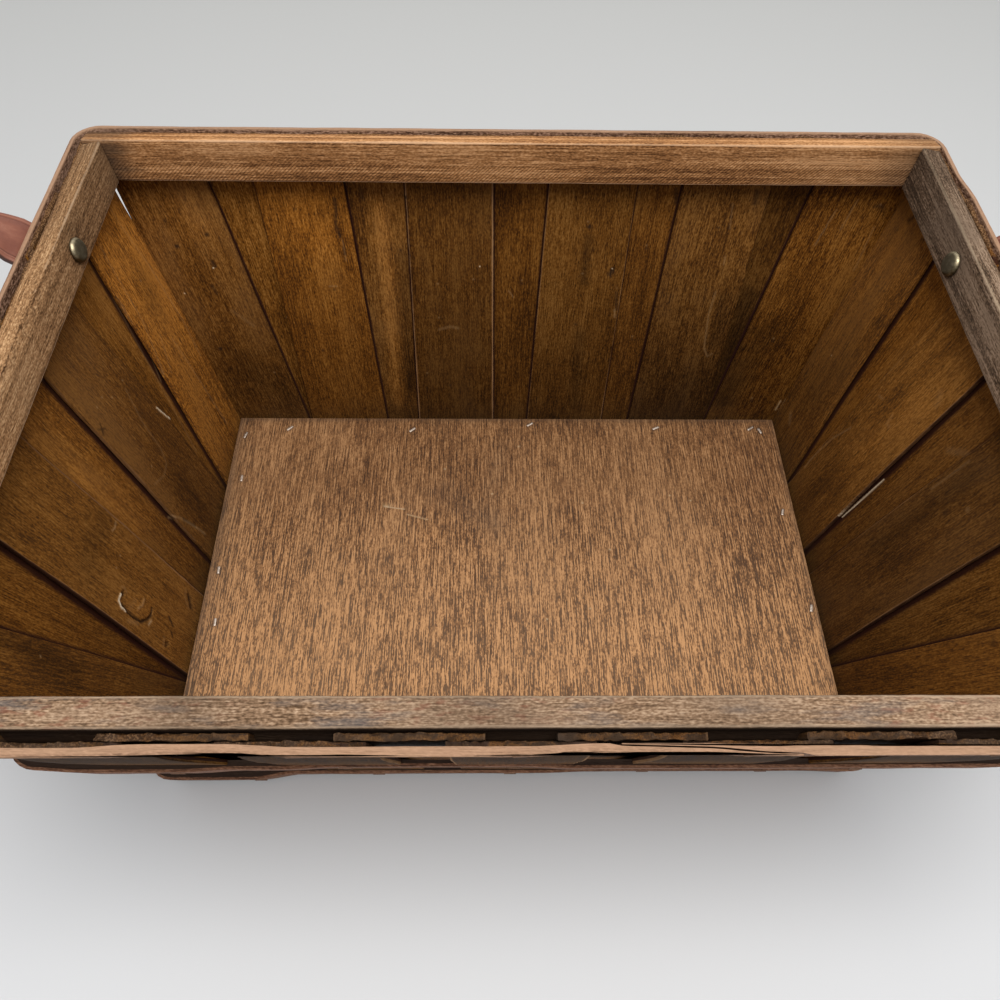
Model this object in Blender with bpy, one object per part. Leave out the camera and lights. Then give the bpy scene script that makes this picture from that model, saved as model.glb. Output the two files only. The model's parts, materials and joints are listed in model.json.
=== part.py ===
"""Rectangular slat basket with flared sides, three bent bands and two leather strap handles.

Thin slats stand in two lapped layers round a stapled floor board. They bend a little under the
wooden top rails, so the rails stand steeper than the walls. Three bent bands hold the slats from
outside, and a riveted leather loop swings at each end.

Lengths are metres. The origin is on the floor under the middle of the basket, +Z is up and X
runs along the long sides.
"""
import math
from dataclasses import dataclass

import bmesh
import bpy
from mathutils import Matrix, Vector

MM = 0.001

# Walls: one section serves all four, so the corners run out at 45 degrees in plan
FOOT_HALF_LENGTH = 178.7 * MM
FOOT_HALF_WIDTH = 113.3 * MM
WALL_LENGTH = 209.0 * MM
WALL_FLARE = math.radians(16.5)
RAIL_LEAN = math.radians(11.0)
BEND_LENGTH = 30.0 * MM
BEND_BELOW_RAIL = 1.0 * MM

# Slats
SLAT_WIDTH = 50.8 * MM
SLAT_THICKNESS = 2.4 * MM
SLAT_BOW = 1.2 * MM
BOW_ROWS = 5
BEND_ROWS = 3

# Top rails, floor battens and floor board
RAIL_HEIGHT = 23.0 * MM
RAIL_THICKNESS = 11.0 * MM
RAIL_EASE = 0.8 * MM
BATTEN_HEIGHT = 16.0 * MM
BATTEN_THICKNESS = 11.0 * MM
BOARD_THICKNESS = 4.0 * MM
BOARD_EDGE_GAP = 0.8 * MM

# Bands
RIM_BAND_WIDTH = 22.0 * MM
RIM_BAND_THICKNESS = 2.4 * MM
HOOP_WIDTH = 22.0 * MM
HOOP_THICKNESS = 1.5 * MM
HOOP_RISE = 108.0 * MM
FOOT_HOOP_LIFT = 2.0 * MM
BAND_CORNER_RADIUS = 12.0 * MM
BAND_CORNER_STEPS = 6
LAP_LENGTH = 60.0 * MM
LAP_RAMP = 4.0 * MM
LAP_TIP = 0.4 * MM
RIM_LAP_PLACE = -60.0 * MM
HOOP_LAP_PLACE = 40.0 * MM

# Leather handles and their rivets
STRAP_WIDTH = 30.0 * MM
STRAP_THICKNESS = 3.5 * MM
STRAP_EDGE_EASE = 0.8 * MM
HANDLE_REACH = 72.0 * MM
HANDLE_ELEVATION = math.radians(38.0)
HANDLE_TWIST = math.radians(82.0)
HANDLE_STEPS = 28
TAB_TAIL = 14.0 * MM
TAB_BEND_RADIUS = 5.0 * MM
TAB_BEND_STEPS = 5
TAB_LIP = 4.0 * MM
RIVET_DROP = 13.0 * MM
RIVET_HEAD_RADIUS = 6.35 * MM
RIVET_HEAD_HEIGHT = 3.2 * MM
RIVET_HEAD_RIM = 0.5 * MM
RIVET_SHANK_RADIUS = 2.2 * MM
RIVET_TAIL_RADIUS = 3.6 * MM
RIVET_TAIL_HEIGHT = 1.3 * MM
RIVET_SIDES = 20

# Gap between touching pieces
CLEARANCE = 0.3 * MM

# Depths outward from the inner face of the inner slats
OUTER_SLAT_FACE = SLAT_THICKNESS + CLEARANCE
BAND_FACE = OUTER_SLAT_FACE + SLAT_THICKNESS + CLEARANCE
RIM_BAND_BACK = BAND_FACE + RIM_BAND_THICKNESS
TAB_MIDDLE = RIM_BAND_BACK + CLEARANCE + STRAP_THICKNESS / 2
TAB_BACK = TAB_MIDDLE + STRAP_THICKNESS / 2
RAIL_FACE = -CLEARANCE - RAIL_THICKNESS

# Section of the wall: a straight flare, a short bend, then the steeper lean of the rails
BEND_END = WALL_LENGTH - RAIL_HEIGHT - BEND_BELOW_RAIL
BEND_START = BEND_END - BEND_LENGTH
BEND_RADIUS = BEND_LENGTH / (WALL_FLARE - RAIL_LEAN)
BEND_CENTRE_OUT = BEND_START * math.sin(WALL_FLARE) - BEND_RADIUS * math.cos(WALL_FLARE)
BEND_CENTRE_Z = BEND_START * math.cos(WALL_FLARE) + BEND_RADIUS * math.sin(WALL_FLARE)
BOARD_TOP = BATTEN_HEIGHT + CLEARANCE + BOARD_THICKNESS


@dataclass(frozen=True)
class Wall:
    """One side of the basket, modelled facing +Y and turned into place about the origin."""

    name: str
    turn: float
    foot_half_depth: float
    foot_half_span: float
    keeps_corner: bool
    places: tuple
    rivet_insets: tuple = ()


# Places of the slats between the corner slats: each pair is the rim's place, then the foot's,
# as shares of the run of a slat's middle, from -1 at one corner to 1 at the other. Each rivet of
# an end wall stands an inset in from the inner edge of the outer slat nearest its corner
WALLS = (
    Wall("far", 0.0, FOOT_HALF_WIDTH, FOOT_HALF_LENGTH, False,
         ((-0.60, -0.70), (-0.176, -0.232), (0.23, 0.248), (0.608, 0.70))),
    Wall("near", math.pi, FOOT_HALF_WIDTH, FOOT_HALF_LENGTH, False,
         ((-0.57, -0.69), (-0.165, -0.21), (0.195, 0.235), (0.575, 0.70))),
    Wall("left", math.pi / 2, FOOT_HALF_LENGTH, FOOT_HALF_WIDTH, True,
         ((-0.302, -0.50), (0.334, 0.358)), (11.5 * MM, 16.0 * MM)),
    Wall("right", -math.pi / 2, FOOT_HALF_LENGTH, FOOT_HALF_WIDTH, True,
         ((-0.329, -0.438), (0.267, 0.324)), (9.5 * MM, 20.5 * MM)),
)
END_SIDES = {"left": ("near", "far"), "right": ("far", "near")}

# Colours, each with its roughness and metallic value
SLAT_TONES = (
    (0.36, 0.17, 0.06),
    (0.30, 0.15, 0.06),
    (0.40, 0.21, 0.08),
    (0.27, 0.14, 0.07),
)
FINISHES = {
    "rail_far": ((0.47, 0.26, 0.15), 0.6, 0.0),
    "rail_near": ((0.42, 0.34, 0.27), 0.65, 0.0),
    "rail_left": ((0.38, 0.29, 0.20), 0.65, 0.0),
    "rail_right": ((0.27, 0.20, 0.14), 0.65, 0.0),
    "batten": ((0.45, 0.33, 0.20), 0.7, 0.0),
    "board": ((0.34, 0.19, 0.09), 0.6, 0.0),
    "band": ((0.42, 0.24, 0.11), 0.55, 0.0),
    "leather": ((0.24, 0.09, 0.045), 0.5, 0.0),
    "brass": ((0.60, 0.44, 0.20), 0.35, 1.0),
}


def wall_section(rise, depth):
    """Outward offset and height of a point, rise up the wall and depth out from its inner face."""
    if rise <= BEND_START:
        angle = WALL_FLARE
        out = rise * math.sin(angle)
        height = rise * math.cos(angle)
    else:
        angle = max(WALL_FLARE - (rise - BEND_START) / BEND_RADIUS, RAIL_LEAN)
        straight = max(rise - BEND_END, 0.0)
        out = BEND_CENTRE_OUT + BEND_RADIUS * math.cos(angle) + straight * math.sin(angle)
        height = BEND_CENTRE_Z - BEND_RADIUS * math.sin(angle) + straight * math.cos(angle)
    return out + depth * math.cos(angle), height - depth * math.sin(angle)


def wall_offset(height, depth):
    """Outward offset, at a height, of the surface that lies depth out from the inner face."""
    radius = BEND_RADIUS + depth
    if height <= BEND_CENTRE_Z - radius * math.sin(WALL_FLARE):
        along = (height + depth * math.sin(WALL_FLARE)) * math.tan(WALL_FLARE)
        return along + depth * math.cos(WALL_FLARE)
    bend_top = BEND_CENTRE_Z - radius * math.sin(RAIL_LEAN)
    if height <= bend_top:
        return BEND_CENTRE_OUT + radius * math.cos(math.asin((BEND_CENTRE_Z - height) / radius))
    return BEND_CENTRE_OUT + radius * math.cos(RAIL_LEAN) + (height - bend_top) * math.tan(RAIL_LEAN)


def rim_plane(rise, depth):
    """Offset and height of a point on the straight line of the rails, also past its ends."""
    out, height = wall_section(WALL_LENGTH, depth)
    fall = WALL_LENGTH - rise
    return out - fall * math.sin(RAIL_LEAN), height - fall * math.cos(RAIL_LEAN)


def slat_bow(height):
    """Inward bow of the inner slats, nothing at the board and at the rails."""
    top = wall_section(WALL_LENGTH - RAIL_HEIGHT, 0.0)[1]
    share = min(max((height - BOARD_TOP) / (top - BOARD_TOP), 0.0), 1.0)
    return SLAT_BOW * math.sin(math.pi * share) ** 2


def corner_limit(wall, height, layer_depth=0.0):
    """How far along a wall its pieces may reach at a height, before the next wall's pieces."""
    limit = wall.foot_half_span + wall_offset(height, layer_depth)
    if wall.keeps_corner:
        return limit
    return limit - slat_bow(height) / math.cos(WALL_FLARE) - CLEARANCE


def make_material(name, colour, roughness, metallic):
    """A plain Principled material."""
    material = bpy.data.materials.new(name)
    material.use_nodes = True
    shader = material.node_tree.nodes["Principled BSDF"]
    shader.inputs["Base Color"].default_value = (*colour, 1.0)
    shader.inputs["Roughness"].default_value = roughness
    shader.inputs["Metallic"].default_value = metallic
    return material


def add_empty(name, parent=None):
    """An empty that carries the pieces of one wall or handle."""
    empty = bpy.data.objects.new(name, None)
    empty.empty_display_size = 0.05
    bpy.context.scene.collection.objects.link(empty)
    empty.parent = parent
    return empty


def loft(name, rings, finish, parent=None, smooth=False):
    """One closed solid skinned over a row of rings with the same number of points."""
    shape = bmesh.new()
    loops = [[shape.verts.new(point) for point in ring] for ring in rings]
    for lower, upper in zip(loops, loops[1:]):
        for index in range(len(lower)):
            after = (index + 1) % len(lower)
            shape.faces.new((lower[index], lower[after], upper[after], upper[index]))
    shape.faces.new(loops[0])
    shape.faces.new(loops[-1])
    bmesh.ops.recalc_face_normals(shape, faces=shape.faces)
    mesh = bpy.data.meshes.new(name)
    shape.to_mesh(mesh)
    shape.free()
    if smooth:
        mesh.shade_smooth()
        mesh.set_sharp_from_angle(angle=math.radians(35.0))
    mesh.materials.append(make_material(name, *finish))
    piece = bpy.data.objects.new(name, mesh)
    bpy.context.scene.collection.objects.link(piece)
    piece.parent = parent
    return piece


def ease_edges(piece, width):
    """Break the sharp edges of a sawn piece."""
    bevel = piece.modifiers.new("eased edges", "BEVEL")
    bevel.width = width
    bevel.segments = 1
    bevel.limit_method = "ANGLE"
    bevel.angle_limit = math.radians(50.0)


@dataclass(frozen=True)
class Slat:
    """The outline of one slat: where its two edges meet the foot and the rim of the wall."""

    foot: tuple
    rim: tuple
    corner: int

    def edge(self, side, rise):
        """Place of an edge, side 0 or 1, at a rise up the wall."""
        share = rise / WALL_LENGTH
        return self.foot[side] * (1.0 - share) + self.rim[side] * share

    def covers(self, place, rise, margin):
        """Whether the slat comes within a margin of a place on the wall."""
        return self.edge(0, rise) - margin < place < self.edge(1, rise) + margin


def half_widths(foot_middle, rim_middle):
    """Half of a slat's width, measured level along the wall."""
    tilt = math.atan((rim_middle - foot_middle) / WALL_LENGTH)
    return SLAT_WIDTH / 2 / math.cos(tilt)


def inner_slats(wall):
    """The inner layer: free slats at their places, and a corner slat shaved to fit at each end."""
    foot_end = corner_limit(wall, 0.0)
    rim_end = corner_limit(wall, wall_section(WALL_LENGTH, 0.0)[1])
    corner_width = 2 * half_widths(foot_end, rim_end)
    free = []
    for rim_share, foot_share in wall.places:
        foot_middle = foot_share * (foot_end - SLAT_WIDTH / 2)
        rim_middle = rim_share * (rim_end - SLAT_WIDTH / 2)
        half = half_widths(foot_middle, rim_middle)
        free.append(Slat((foot_middle - half, foot_middle + half),
                         (rim_middle - half, rim_middle + half), 0))
    low_foot = min(corner_width - foot_end, free[0].foot[0] - CLEARANCE)
    low_rim = min(corner_width - rim_end, free[0].rim[0] - CLEARANCE)
    high_foot = max(foot_end - corner_width, free[-1].foot[1] + CLEARANCE)
    high_rim = max(rim_end - corner_width, free[-1].rim[1] + CLEARANCE)
    first = Slat((-foot_end, low_foot), (-rim_end, low_rim), -1)
    last = Slat((high_foot, foot_end), (high_rim, rim_end), 1)
    return [first, *free, last]


def outer_slats(inner):
    """The outer layer: one slat over the middle of each gap in the inner layer."""
    slats = []
    for before, after in zip(inner, inner[1:]):
        foot_middle = (before.foot[1] + after.foot[0]) / 2
        rim_middle = (before.rim[1] + after.rim[0]) / 2
        half = half_widths(foot_middle, rim_middle)
        slats.append(Slat((foot_middle - half, foot_middle + half),
                          (rim_middle - half, rim_middle + half), 0))
    return slats


def slat_rises():
    """Rises of a slat's rows above its foot: through the bow, round the bend and at the rim."""
    first = BOARD_TOP / math.cos(WALL_FLARE)
    bow = [first + (BEND_START - first) * row / BOW_ROWS for row in range(BOW_ROWS + 1)]
    bend = [BEND_START + BEND_LENGTH * (row + 1) / BEND_ROWS for row in range(BEND_ROWS)]
    return [*bow, *bend, WALL_LENGTH]


def slat_point(wall, slat, side, rise, depth, bowed):
    """A point of a slat's edge, which follows the corner line where the slat stands in a corner."""
    if bowed:
        depth -= slat_bow(wall_section(rise, 0.0)[1])
    out, height = wall_section(rise, depth)
    place = slat.edge(side, rise)
    if slat.corner == 2 * side - 1:
        place = slat.corner * corner_limit(wall, height)
    return Vector((place, wall.foot_half_depth + out, height))


def make_slat(wall, slat, name, face, bowed, tone, parent):
    """One slat, cut level at the floor and square to its faces at the rim."""
    back = face + SLAT_THICKNESS
    corners = ((0, face), (1, face), (1, back), (0, back))
    foot = [slat_point(wall, slat, side, depth * math.tan(WALL_FLARE), depth, False)
            for side, depth in corners]
    rings = [foot]
    for rise in slat_rises():
        rings.append([slat_point(wall, slat, side, rise, depth, bowed) for side, depth in corners])
    return loft(name, rings, (tone, 0.55, 0.0), parent)


def make_rail(wall, parent):
    """A top rail: the long rails run full length and the end rails butt between them."""
    low = WALL_LENGTH - RAIL_HEIGHT
    profile = ((low, RAIL_FACE), (WALL_LENGTH, RAIL_FACE), (WALL_LENGTH, -CLEARANCE),
               (low, -CLEARANCE))
    rings = []
    for end in (-1, 1):
        ring = []
        for rise, depth in profile:
            out, height = wall_section(rise, depth)
            reach = corner_limit(wall, height)
            if wall.keeps_corner:
                reach = corner_limit(wall, height, RAIL_FACE) - CLEARANCE
            ring.append(Vector((end * reach, wall.foot_half_depth + out, height)))
        rings.append(ring)
    rail = loft(f"top_rail_{wall.name}", rings, FINISHES[f"rail_{wall.name}"], parent)
    ease_edges(rail, RAIL_EASE)
    return rail


def make_batten(wall, parent):
    """A floor batten behind the feet of a wall's slats, level above and below."""
    inner = -CLEARANCE - BATTEN_THICKNESS
    profile = ((0.0, inner), (BATTEN_HEIGHT, inner), (BATTEN_HEIGHT, -CLEARANCE),
               (0.0, -CLEARANCE))
    rings = []
    for end in (-1, 1):
        ring = []
        for height, depth in profile:
            reach = corner_limit(wall, height)
            if wall.keeps_corner:
                reach = corner_limit(wall, height, inner) - CLEARANCE
            out = wall.foot_half_depth + wall_offset(height, depth)
            ring.append(Vector((end * reach, out, height)))
        rings.append(ring)
    return loft(f"floor_batten_{wall.name}", rings, FINISHES["batten"], parent)


def make_board():
    """The floor board on the battens, with its edges just inside the slats."""
    underside = BOARD_TOP - BOARD_THICKNESS
    margin = wall_offset(underside, 0.0) - BOARD_EDGE_GAP
    half_length = FOOT_HALF_LENGTH + margin
    half_width = FOOT_HALF_WIDTH + margin
    rings = []
    for height in (underside, BOARD_TOP):
        rings.append([Vector((half_length * x, half_width * y, height))
                      for x, y in ((-1, -1), (1, -1), (1, 1), (-1, 1))])
    return loft("floor_board", rings, FINISHES["board"])


def band_corner_radius():
    """Inner radius at a band's top edge, limited so that the corner slats stay inside it."""
    near = BAND_FACE - SLAT_THICKNESS
    total = near + BAND_FACE - CLEARANCE
    reach = total * total - near * near - BAND_FACE * BAND_FACE + CLEARANCE * CLEARANCE
    return min(BAND_CORNER_RADIUS, total + math.sqrt(reach) - CLEARANCE)


def band_path(lap_wall, lap_place, corner):
    """Stations of a band from its inner tail round to its outer tail.

    Each station is a start in plan, the outward direction there, how far out that start lies
    from the foot line, and which stretch of the band it is in.
    """
    order = ("far", "left", "near", "right")
    walls = {wall.name: wall for wall in WALLS}
    first = order.index(lap_wall)
    half_lap = LAP_LENGTH / 2

    def on_wall(name, place, stretch):
        turn = walls[name].turn
        start = Vector((place, walls[name].foot_half_depth))
        spin = Matrix.Rotation(turn, 2)
        return spin @ start, spin @ Vector((0.0, 1.0)), 0.0, stretch

    stations = [on_wall(lap_wall, lap_place + half_lap, "inner tip"),
                on_wall(lap_wall, lap_place - half_lap, "inner root"),
                on_wall(lap_wall, lap_place - half_lap - LAP_RAMP, "full")]
    for step in range(4):
        wall = walls[order[(first + step) % 4]]
        centre = Matrix.Rotation(wall.turn, 2) @ Vector((-wall.foot_half_span - corner,
                                                         wall.foot_half_depth + corner))
        for part in range(BAND_CORNER_STEPS + 1):
            angle = wall.turn + math.pi / 2 * (1 + part / BAND_CORNER_STEPS)
            stations.append((centre, Vector((math.cos(angle), math.sin(angle))), corner, "full"))
    stations += [on_wall(lap_wall, lap_place + half_lap + LAP_RAMP, "full"),
                 on_wall(lap_wall, lap_place + half_lap, "outer root"),
                 on_wall(lap_wall, lap_place - half_lap, "outer tip")]
    return stations


def make_band(name, low, width, thickness, lap_wall, lap_place):
    """A bent band whose two ends are thinned and lapped, so it keeps one thickness all round."""
    top = low + width
    out, height = wall_section(top, BAND_FACE)
    corner = out - band_corner_radius()
    back = BAND_FACE + thickness
    depths = {
        "full": (BAND_FACE, back),
        "inner tip": (BAND_FACE, BAND_FACE + LAP_TIP),
        "inner root": (BAND_FACE, back - LAP_TIP - CLEARANCE),
        "outer root": (BAND_FACE + LAP_TIP + CLEARANCE, back),
        "outer tip": (back - LAP_TIP, back),
    }
    rings = []
    for start, outward, base, stretch in band_path(lap_wall, lap_place, corner):
        front, rear = depths[stretch]
        ring = []
        for rise, depth in ((low, front), (low, rear), (top, rear), (top, front)):
            out, height = wall_section(rise, depth)
            ring.append((start + outward * (out - base)).to_3d() + Vector((0.0, 0.0, height)))
        rings.append(ring)
    return loft(name, rings, FINISHES["band"])


def tab_path():
    """Offset, height and elevation along the middle of a tab, from its tail to its lip."""
    upright = math.pi / 2 - RAIL_LEAN
    tail = WALL_LENGTH - RIVET_DROP - TAB_TAIL
    bend = WALL_LENGTH - RIVET_DROP + RIVET_TAIL_RADIUS + CLEARANCE
    half = STRAP_WIDTH / 2
    path = []
    for degrees in (20, 40, 60, 90):
        angle = math.radians(degrees)
        path.append((*rim_plane(tail + half * (1.0 - math.cos(angle)), TAB_MIDDLE), upright,
                     half * math.sin(angle)))
    out, height = rim_plane(bend, TAB_MIDDLE)
    centre_out = out + TAB_BEND_RADIUS * math.sin(upright)
    centre_z = height - TAB_BEND_RADIUS * math.cos(upright)
    for step in range(TAB_BEND_STEPS + 1):
        angle = upright + (HANDLE_ELEVATION - upright) * step / TAB_BEND_STEPS
        path.append((centre_out - TAB_BEND_RADIUS * math.sin(angle),
                     centre_z + TAB_BEND_RADIUS * math.cos(angle), angle, half))
    out, height, angle, half = path[-1]
    path.append((out + TAB_LIP * math.cos(angle), height + TAB_LIP * math.sin(angle), angle, half))
    return path


def handle_axis():
    """Offset and height of the line on which a handle flexes, just past the tabs' lips."""
    out, height, angle, half = tab_path()[-1]
    gap = STRAP_THICKNESS / 2 + CLEARANCE
    return out + gap * math.cos(angle), height + gap * math.sin(angle)


def strap_ring(middle, across, through, half_width, half_thickness):
    """The eight corners of a strap's section, with its edges eased."""
    ease = min(STRAP_EDGE_EASE, half_thickness / 2)
    points = []
    for wide, thick in ((half_width - ease, half_thickness), (half_width, half_thickness - ease)):
        points.append((wide, thick))
    outline = [points[0], points[1], (points[1][0], -points[1][1]), (points[0][0], -points[0][1])]
    outline += [(-wide, thick) for wide, thick in reversed(outline)]
    return [middle + across * wide + through * thick for wide, thick in outline]


def make_tab(wall, side, place, parent):
    """A riveted tab: it climbs the rim band and bends out to meet the handle."""
    rings = []
    for out, height, angle, half in tab_path():
        middle = Vector((place, wall.foot_half_depth + out, height))
        through = Vector((0.0, -math.sin(angle), math.cos(angle)))
        rings.append(strap_ring(middle, Vector((1.0, 0.0, 0.0)), through, half,
                                STRAP_THICKNESS / 2))
    name = f"handle_tab_{wall.name}_{side}"
    return loft(name, rings, FINISHES["leather"], parent, smooth=True)


def make_handle(wall, places, parent):
    """The swinging loop: an arch of strap that turns on edge towards the hand."""
    half_span = (places[1] - places[0]) / 2
    out, height = handle_axis()
    pivot = add_empty(f"handle_pivot_{wall.name}", parent)
    pivot.location = ((places[0] + places[1]) / 2, wall.foot_half_depth + out, height)
    reach = Vector((0.0, math.cos(HANDLE_ELEVATION), math.sin(HANDLE_ELEVATION)))
    above = Vector((0.0, -math.sin(HANDLE_ELEVATION), math.cos(HANDLE_ELEVATION)))
    along = Vector((1.0, 0.0, 0.0))
    half_thickness = STRAP_THICKNESS / 2
    noses = [math.radians(degrees) for degrees in (20, 45, 70)]

    def nose(end):
        rings = []
        for angle in noses:
            middle = along * (end * half_span) - reach * (half_thickness * math.cos(angle))
            rings.append(strap_ring(middle, along * end, above, STRAP_WIDTH / 2,
                                    half_thickness * math.sin(angle)))
        return rings

    rings = nose(1)
    for step in range(HANDLE_STEPS + 1):
        angle = math.pi * step / HANDLE_STEPS
        middle = along * (half_span * math.cos(angle)) + reach * (HANDLE_REACH * math.sin(angle))
        outward = (along * (math.cos(angle) / half_span)
                   + reach * (math.sin(angle) / HANDLE_REACH)).normalized()
        twist = HANDLE_TWIST * math.sin(angle)
        across = outward * math.cos(twist) - above * math.sin(twist)
        through = outward * math.sin(twist) + above * math.cos(twist)
        rings.append(strap_ring(middle, across, through, STRAP_WIDTH / 2, half_thickness))
    rings += reversed(nose(-1))
    return loft(f"handle_loop_{wall.name}", rings, FINISHES["leather"], pivot, smooth=True)


def turned(name, wall, place, profile, sides, finish, parent):
    """A round piece through the rail: the profile gives depths and radii along its axis."""
    along = Vector((1.0, 0.0, 0.0))
    up = Vector((0.0, math.sin(RAIL_LEAN), math.cos(RAIL_LEAN)))
    rings = []
    for depth, radius in profile:
        out, height = rim_plane(WALL_LENGTH - RIVET_DROP, depth)
        middle = Vector((place, wall.foot_half_depth + out, height))
        ring = []
        for side in range(sides):
            angle = math.tau * side / sides
            ring.append(middle + along * (radius * math.cos(angle)) + up * (radius * math.sin(angle)))
        rings.append(ring)
    return loft(name, rings, finish, parent, smooth=True)


def make_rivet(wall, side, place, parent):
    """A rivet with a domed head inside the rail and a spread tail outside the tab."""
    seat = RAIL_FACE - CLEARANCE
    tail = TAB_BACK + CLEARANCE
    dome = RIVET_HEAD_HEIGHT - RIVET_HEAD_RIM
    sphere = (RIVET_HEAD_RADIUS ** 2 + dome ** 2) / (2 * dome)
    widest = math.asin(RIVET_HEAD_RADIUS / sphere)
    profile = []
    for share in (0.2, 0.45, 0.7, 0.88, 1.0):
        angle = widest * share
        depth = seat - RIVET_HEAD_RIM - (sphere * math.cos(angle) - sphere + dome)
        profile.append((depth, sphere * math.sin(angle)))
    profile += [
        (seat, RIVET_HEAD_RADIUS),
        (seat, RIVET_SHANK_RADIUS),
        (tail, RIVET_SHANK_RADIUS),
        (tail, RIVET_TAIL_RADIUS),
        (tail + RIVET_TAIL_HEIGHT / 2, RIVET_TAIL_RADIUS),
        (tail + RIVET_TAIL_HEIGHT, RIVET_TAIL_RADIUS * 0.7),
    ]
    name = f"handle_rivet_{wall.name}_{side}"
    return turned(name, wall, place, profile, RIVET_SIDES, FINISHES["brass"], parent)


def make_rivet_hole(wall, side, place, parent):
    """The cutter for the hole that a rivet's shank passes through."""
    radius = RIVET_SHANK_RADIUS + CLEARANCE
    ends = ((RAIL_FACE - RAIL_THICKNESS / 2, radius), (TAB_BACK + STRAP_THICKNESS, radius))
    cutter = turned(f"rivet_hole_{wall.name}_{side}", wall, place, ends, RIVET_SIDES,
                    FINISHES["brass"], parent)
    cutter.hide_render = True
    cutter.display_type = "WIRE"
    return cutter


def cut(piece, cutter):
    """Cut a hole in a piece."""
    boolean = piece.modifiers.new(cutter.name, "BOOLEAN")
    boolean.operation = "DIFFERENCE"
    boolean.solver = "EXACT"
    boolean.object = cutter


def build_wall(wall):
    """Slats, rail and batten of one wall, with the slats' outlines for the rivets and holes."""
    frame = add_empty(f"wall_{wall.name}")
    frame.rotation_euler.z = wall.turn
    inner = inner_slats(wall)
    outer = outer_slats(inner)
    layers = (("inner", inner, 0.0, True), ("outer", outer, OUTER_SLAT_FACE, False))
    pieces = []
    for layer, slats, face, bowed in layers:
        for number, slat in enumerate(slats, start=1):
            tone = SLAT_TONES[(number + len(slats)) % len(SLAT_TONES)]
            name = f"{wall.name}_slat_{layer}_{number}"
            pieces.append((slat, make_slat(wall, slat, name, face, bowed, tone, frame)))
    rail = make_rail(wall, frame)
    make_batten(wall, frame)
    return frame, pieces, outer, rail


def rivet_places(wall, outer):
    """Places of the two rivets along an end wall, each through an outer slat."""
    rise = WALL_LENGTH - RIVET_DROP
    return (outer[0].edge(1, rise) - wall.rivet_insets[0],
            outer[-1].edge(0, rise) + wall.rivet_insets[1])


def build_handle(wall, frame, slats, outer, rail, rim_band):
    """The loop, tabs and rivets at one end, with the holes that the rivets pass through."""
    places = rivet_places(wall, outer)
    make_handle(wall, places, frame)
    rise = WALL_LENGTH - RIVET_DROP
    reach = RIVET_SHANK_RADIUS + 2 * CLEARANCE
    for side, place in zip(END_SIDES[wall.name], places):
        tab = make_tab(wall, side, place, frame)
        make_rivet(wall, side, place, frame)
        cutter = make_rivet_hole(wall, side, place, frame)
        pierced = [piece for slat, piece in slats if slat.covers(place, rise, reach)]
        for piece in (rail, rim_band, tab, *pierced):
            cut(piece, cutter)


def main():
    """Build the basket."""
    for old in list(bpy.data.objects):
        bpy.data.objects.remove(old, do_unlink=True)
    make_board()
    hoop_back = BAND_FACE + HOOP_THICKNESS
    foot_low = (FOOT_HOOP_LIFT + hoop_back * math.sin(WALL_FLARE)) / math.cos(WALL_FLARE)
    rim_band = make_band("rim_band", WALL_LENGTH - RIM_BAND_WIDTH, RIM_BAND_WIDTH,
                         RIM_BAND_THICKNESS, "near", RIM_LAP_PLACE)
    make_band("middle_band", HOOP_RISE - HOOP_WIDTH / 2, HOOP_WIDTH, HOOP_THICKNESS, "far",
              HOOP_LAP_PLACE)
    make_band("foot_band", foot_low, HOOP_WIDTH, HOOP_THICKNESS, "far", HOOP_LAP_PLACE)
    for wall in WALLS:
        frame, slats, outer, rail = build_wall(wall)
        if wall.keeps_corner:
            build_handle(wall, frame, slats, outer, rail, rim_band)


main()
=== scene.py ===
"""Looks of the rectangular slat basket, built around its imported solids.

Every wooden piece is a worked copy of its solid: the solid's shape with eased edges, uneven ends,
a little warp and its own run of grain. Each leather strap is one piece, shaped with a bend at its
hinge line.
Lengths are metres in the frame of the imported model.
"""

import json
import logging
import math
from dataclasses import dataclass, field
from enum import Enum
from functools import lru_cache
from typing import Any, Callable, Iterable, Optional, Sequence, Union

import bpy
import numpy as np
from mathutils import Matrix, Vector

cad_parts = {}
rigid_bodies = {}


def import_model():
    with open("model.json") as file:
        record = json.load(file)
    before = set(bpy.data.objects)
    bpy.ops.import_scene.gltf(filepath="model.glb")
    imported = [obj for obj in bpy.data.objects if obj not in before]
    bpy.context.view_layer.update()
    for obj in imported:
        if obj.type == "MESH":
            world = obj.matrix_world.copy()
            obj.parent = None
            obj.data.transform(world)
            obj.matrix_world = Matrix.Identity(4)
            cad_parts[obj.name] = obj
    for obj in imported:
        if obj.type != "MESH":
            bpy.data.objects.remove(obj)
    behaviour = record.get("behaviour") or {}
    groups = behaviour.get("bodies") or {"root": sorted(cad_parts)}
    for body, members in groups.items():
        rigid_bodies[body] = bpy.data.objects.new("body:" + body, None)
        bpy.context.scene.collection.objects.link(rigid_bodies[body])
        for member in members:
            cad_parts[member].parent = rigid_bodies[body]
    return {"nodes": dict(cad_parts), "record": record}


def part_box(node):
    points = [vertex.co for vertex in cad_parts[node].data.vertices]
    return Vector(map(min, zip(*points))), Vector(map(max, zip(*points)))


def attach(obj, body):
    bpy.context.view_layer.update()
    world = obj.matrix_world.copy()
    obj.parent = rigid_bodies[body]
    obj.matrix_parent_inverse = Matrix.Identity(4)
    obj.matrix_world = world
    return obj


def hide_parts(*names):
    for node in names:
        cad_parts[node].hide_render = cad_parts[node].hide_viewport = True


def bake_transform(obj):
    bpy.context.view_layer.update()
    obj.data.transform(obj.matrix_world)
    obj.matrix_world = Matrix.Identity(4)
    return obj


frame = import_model()
LOG = logging.getLogger("basket")

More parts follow.
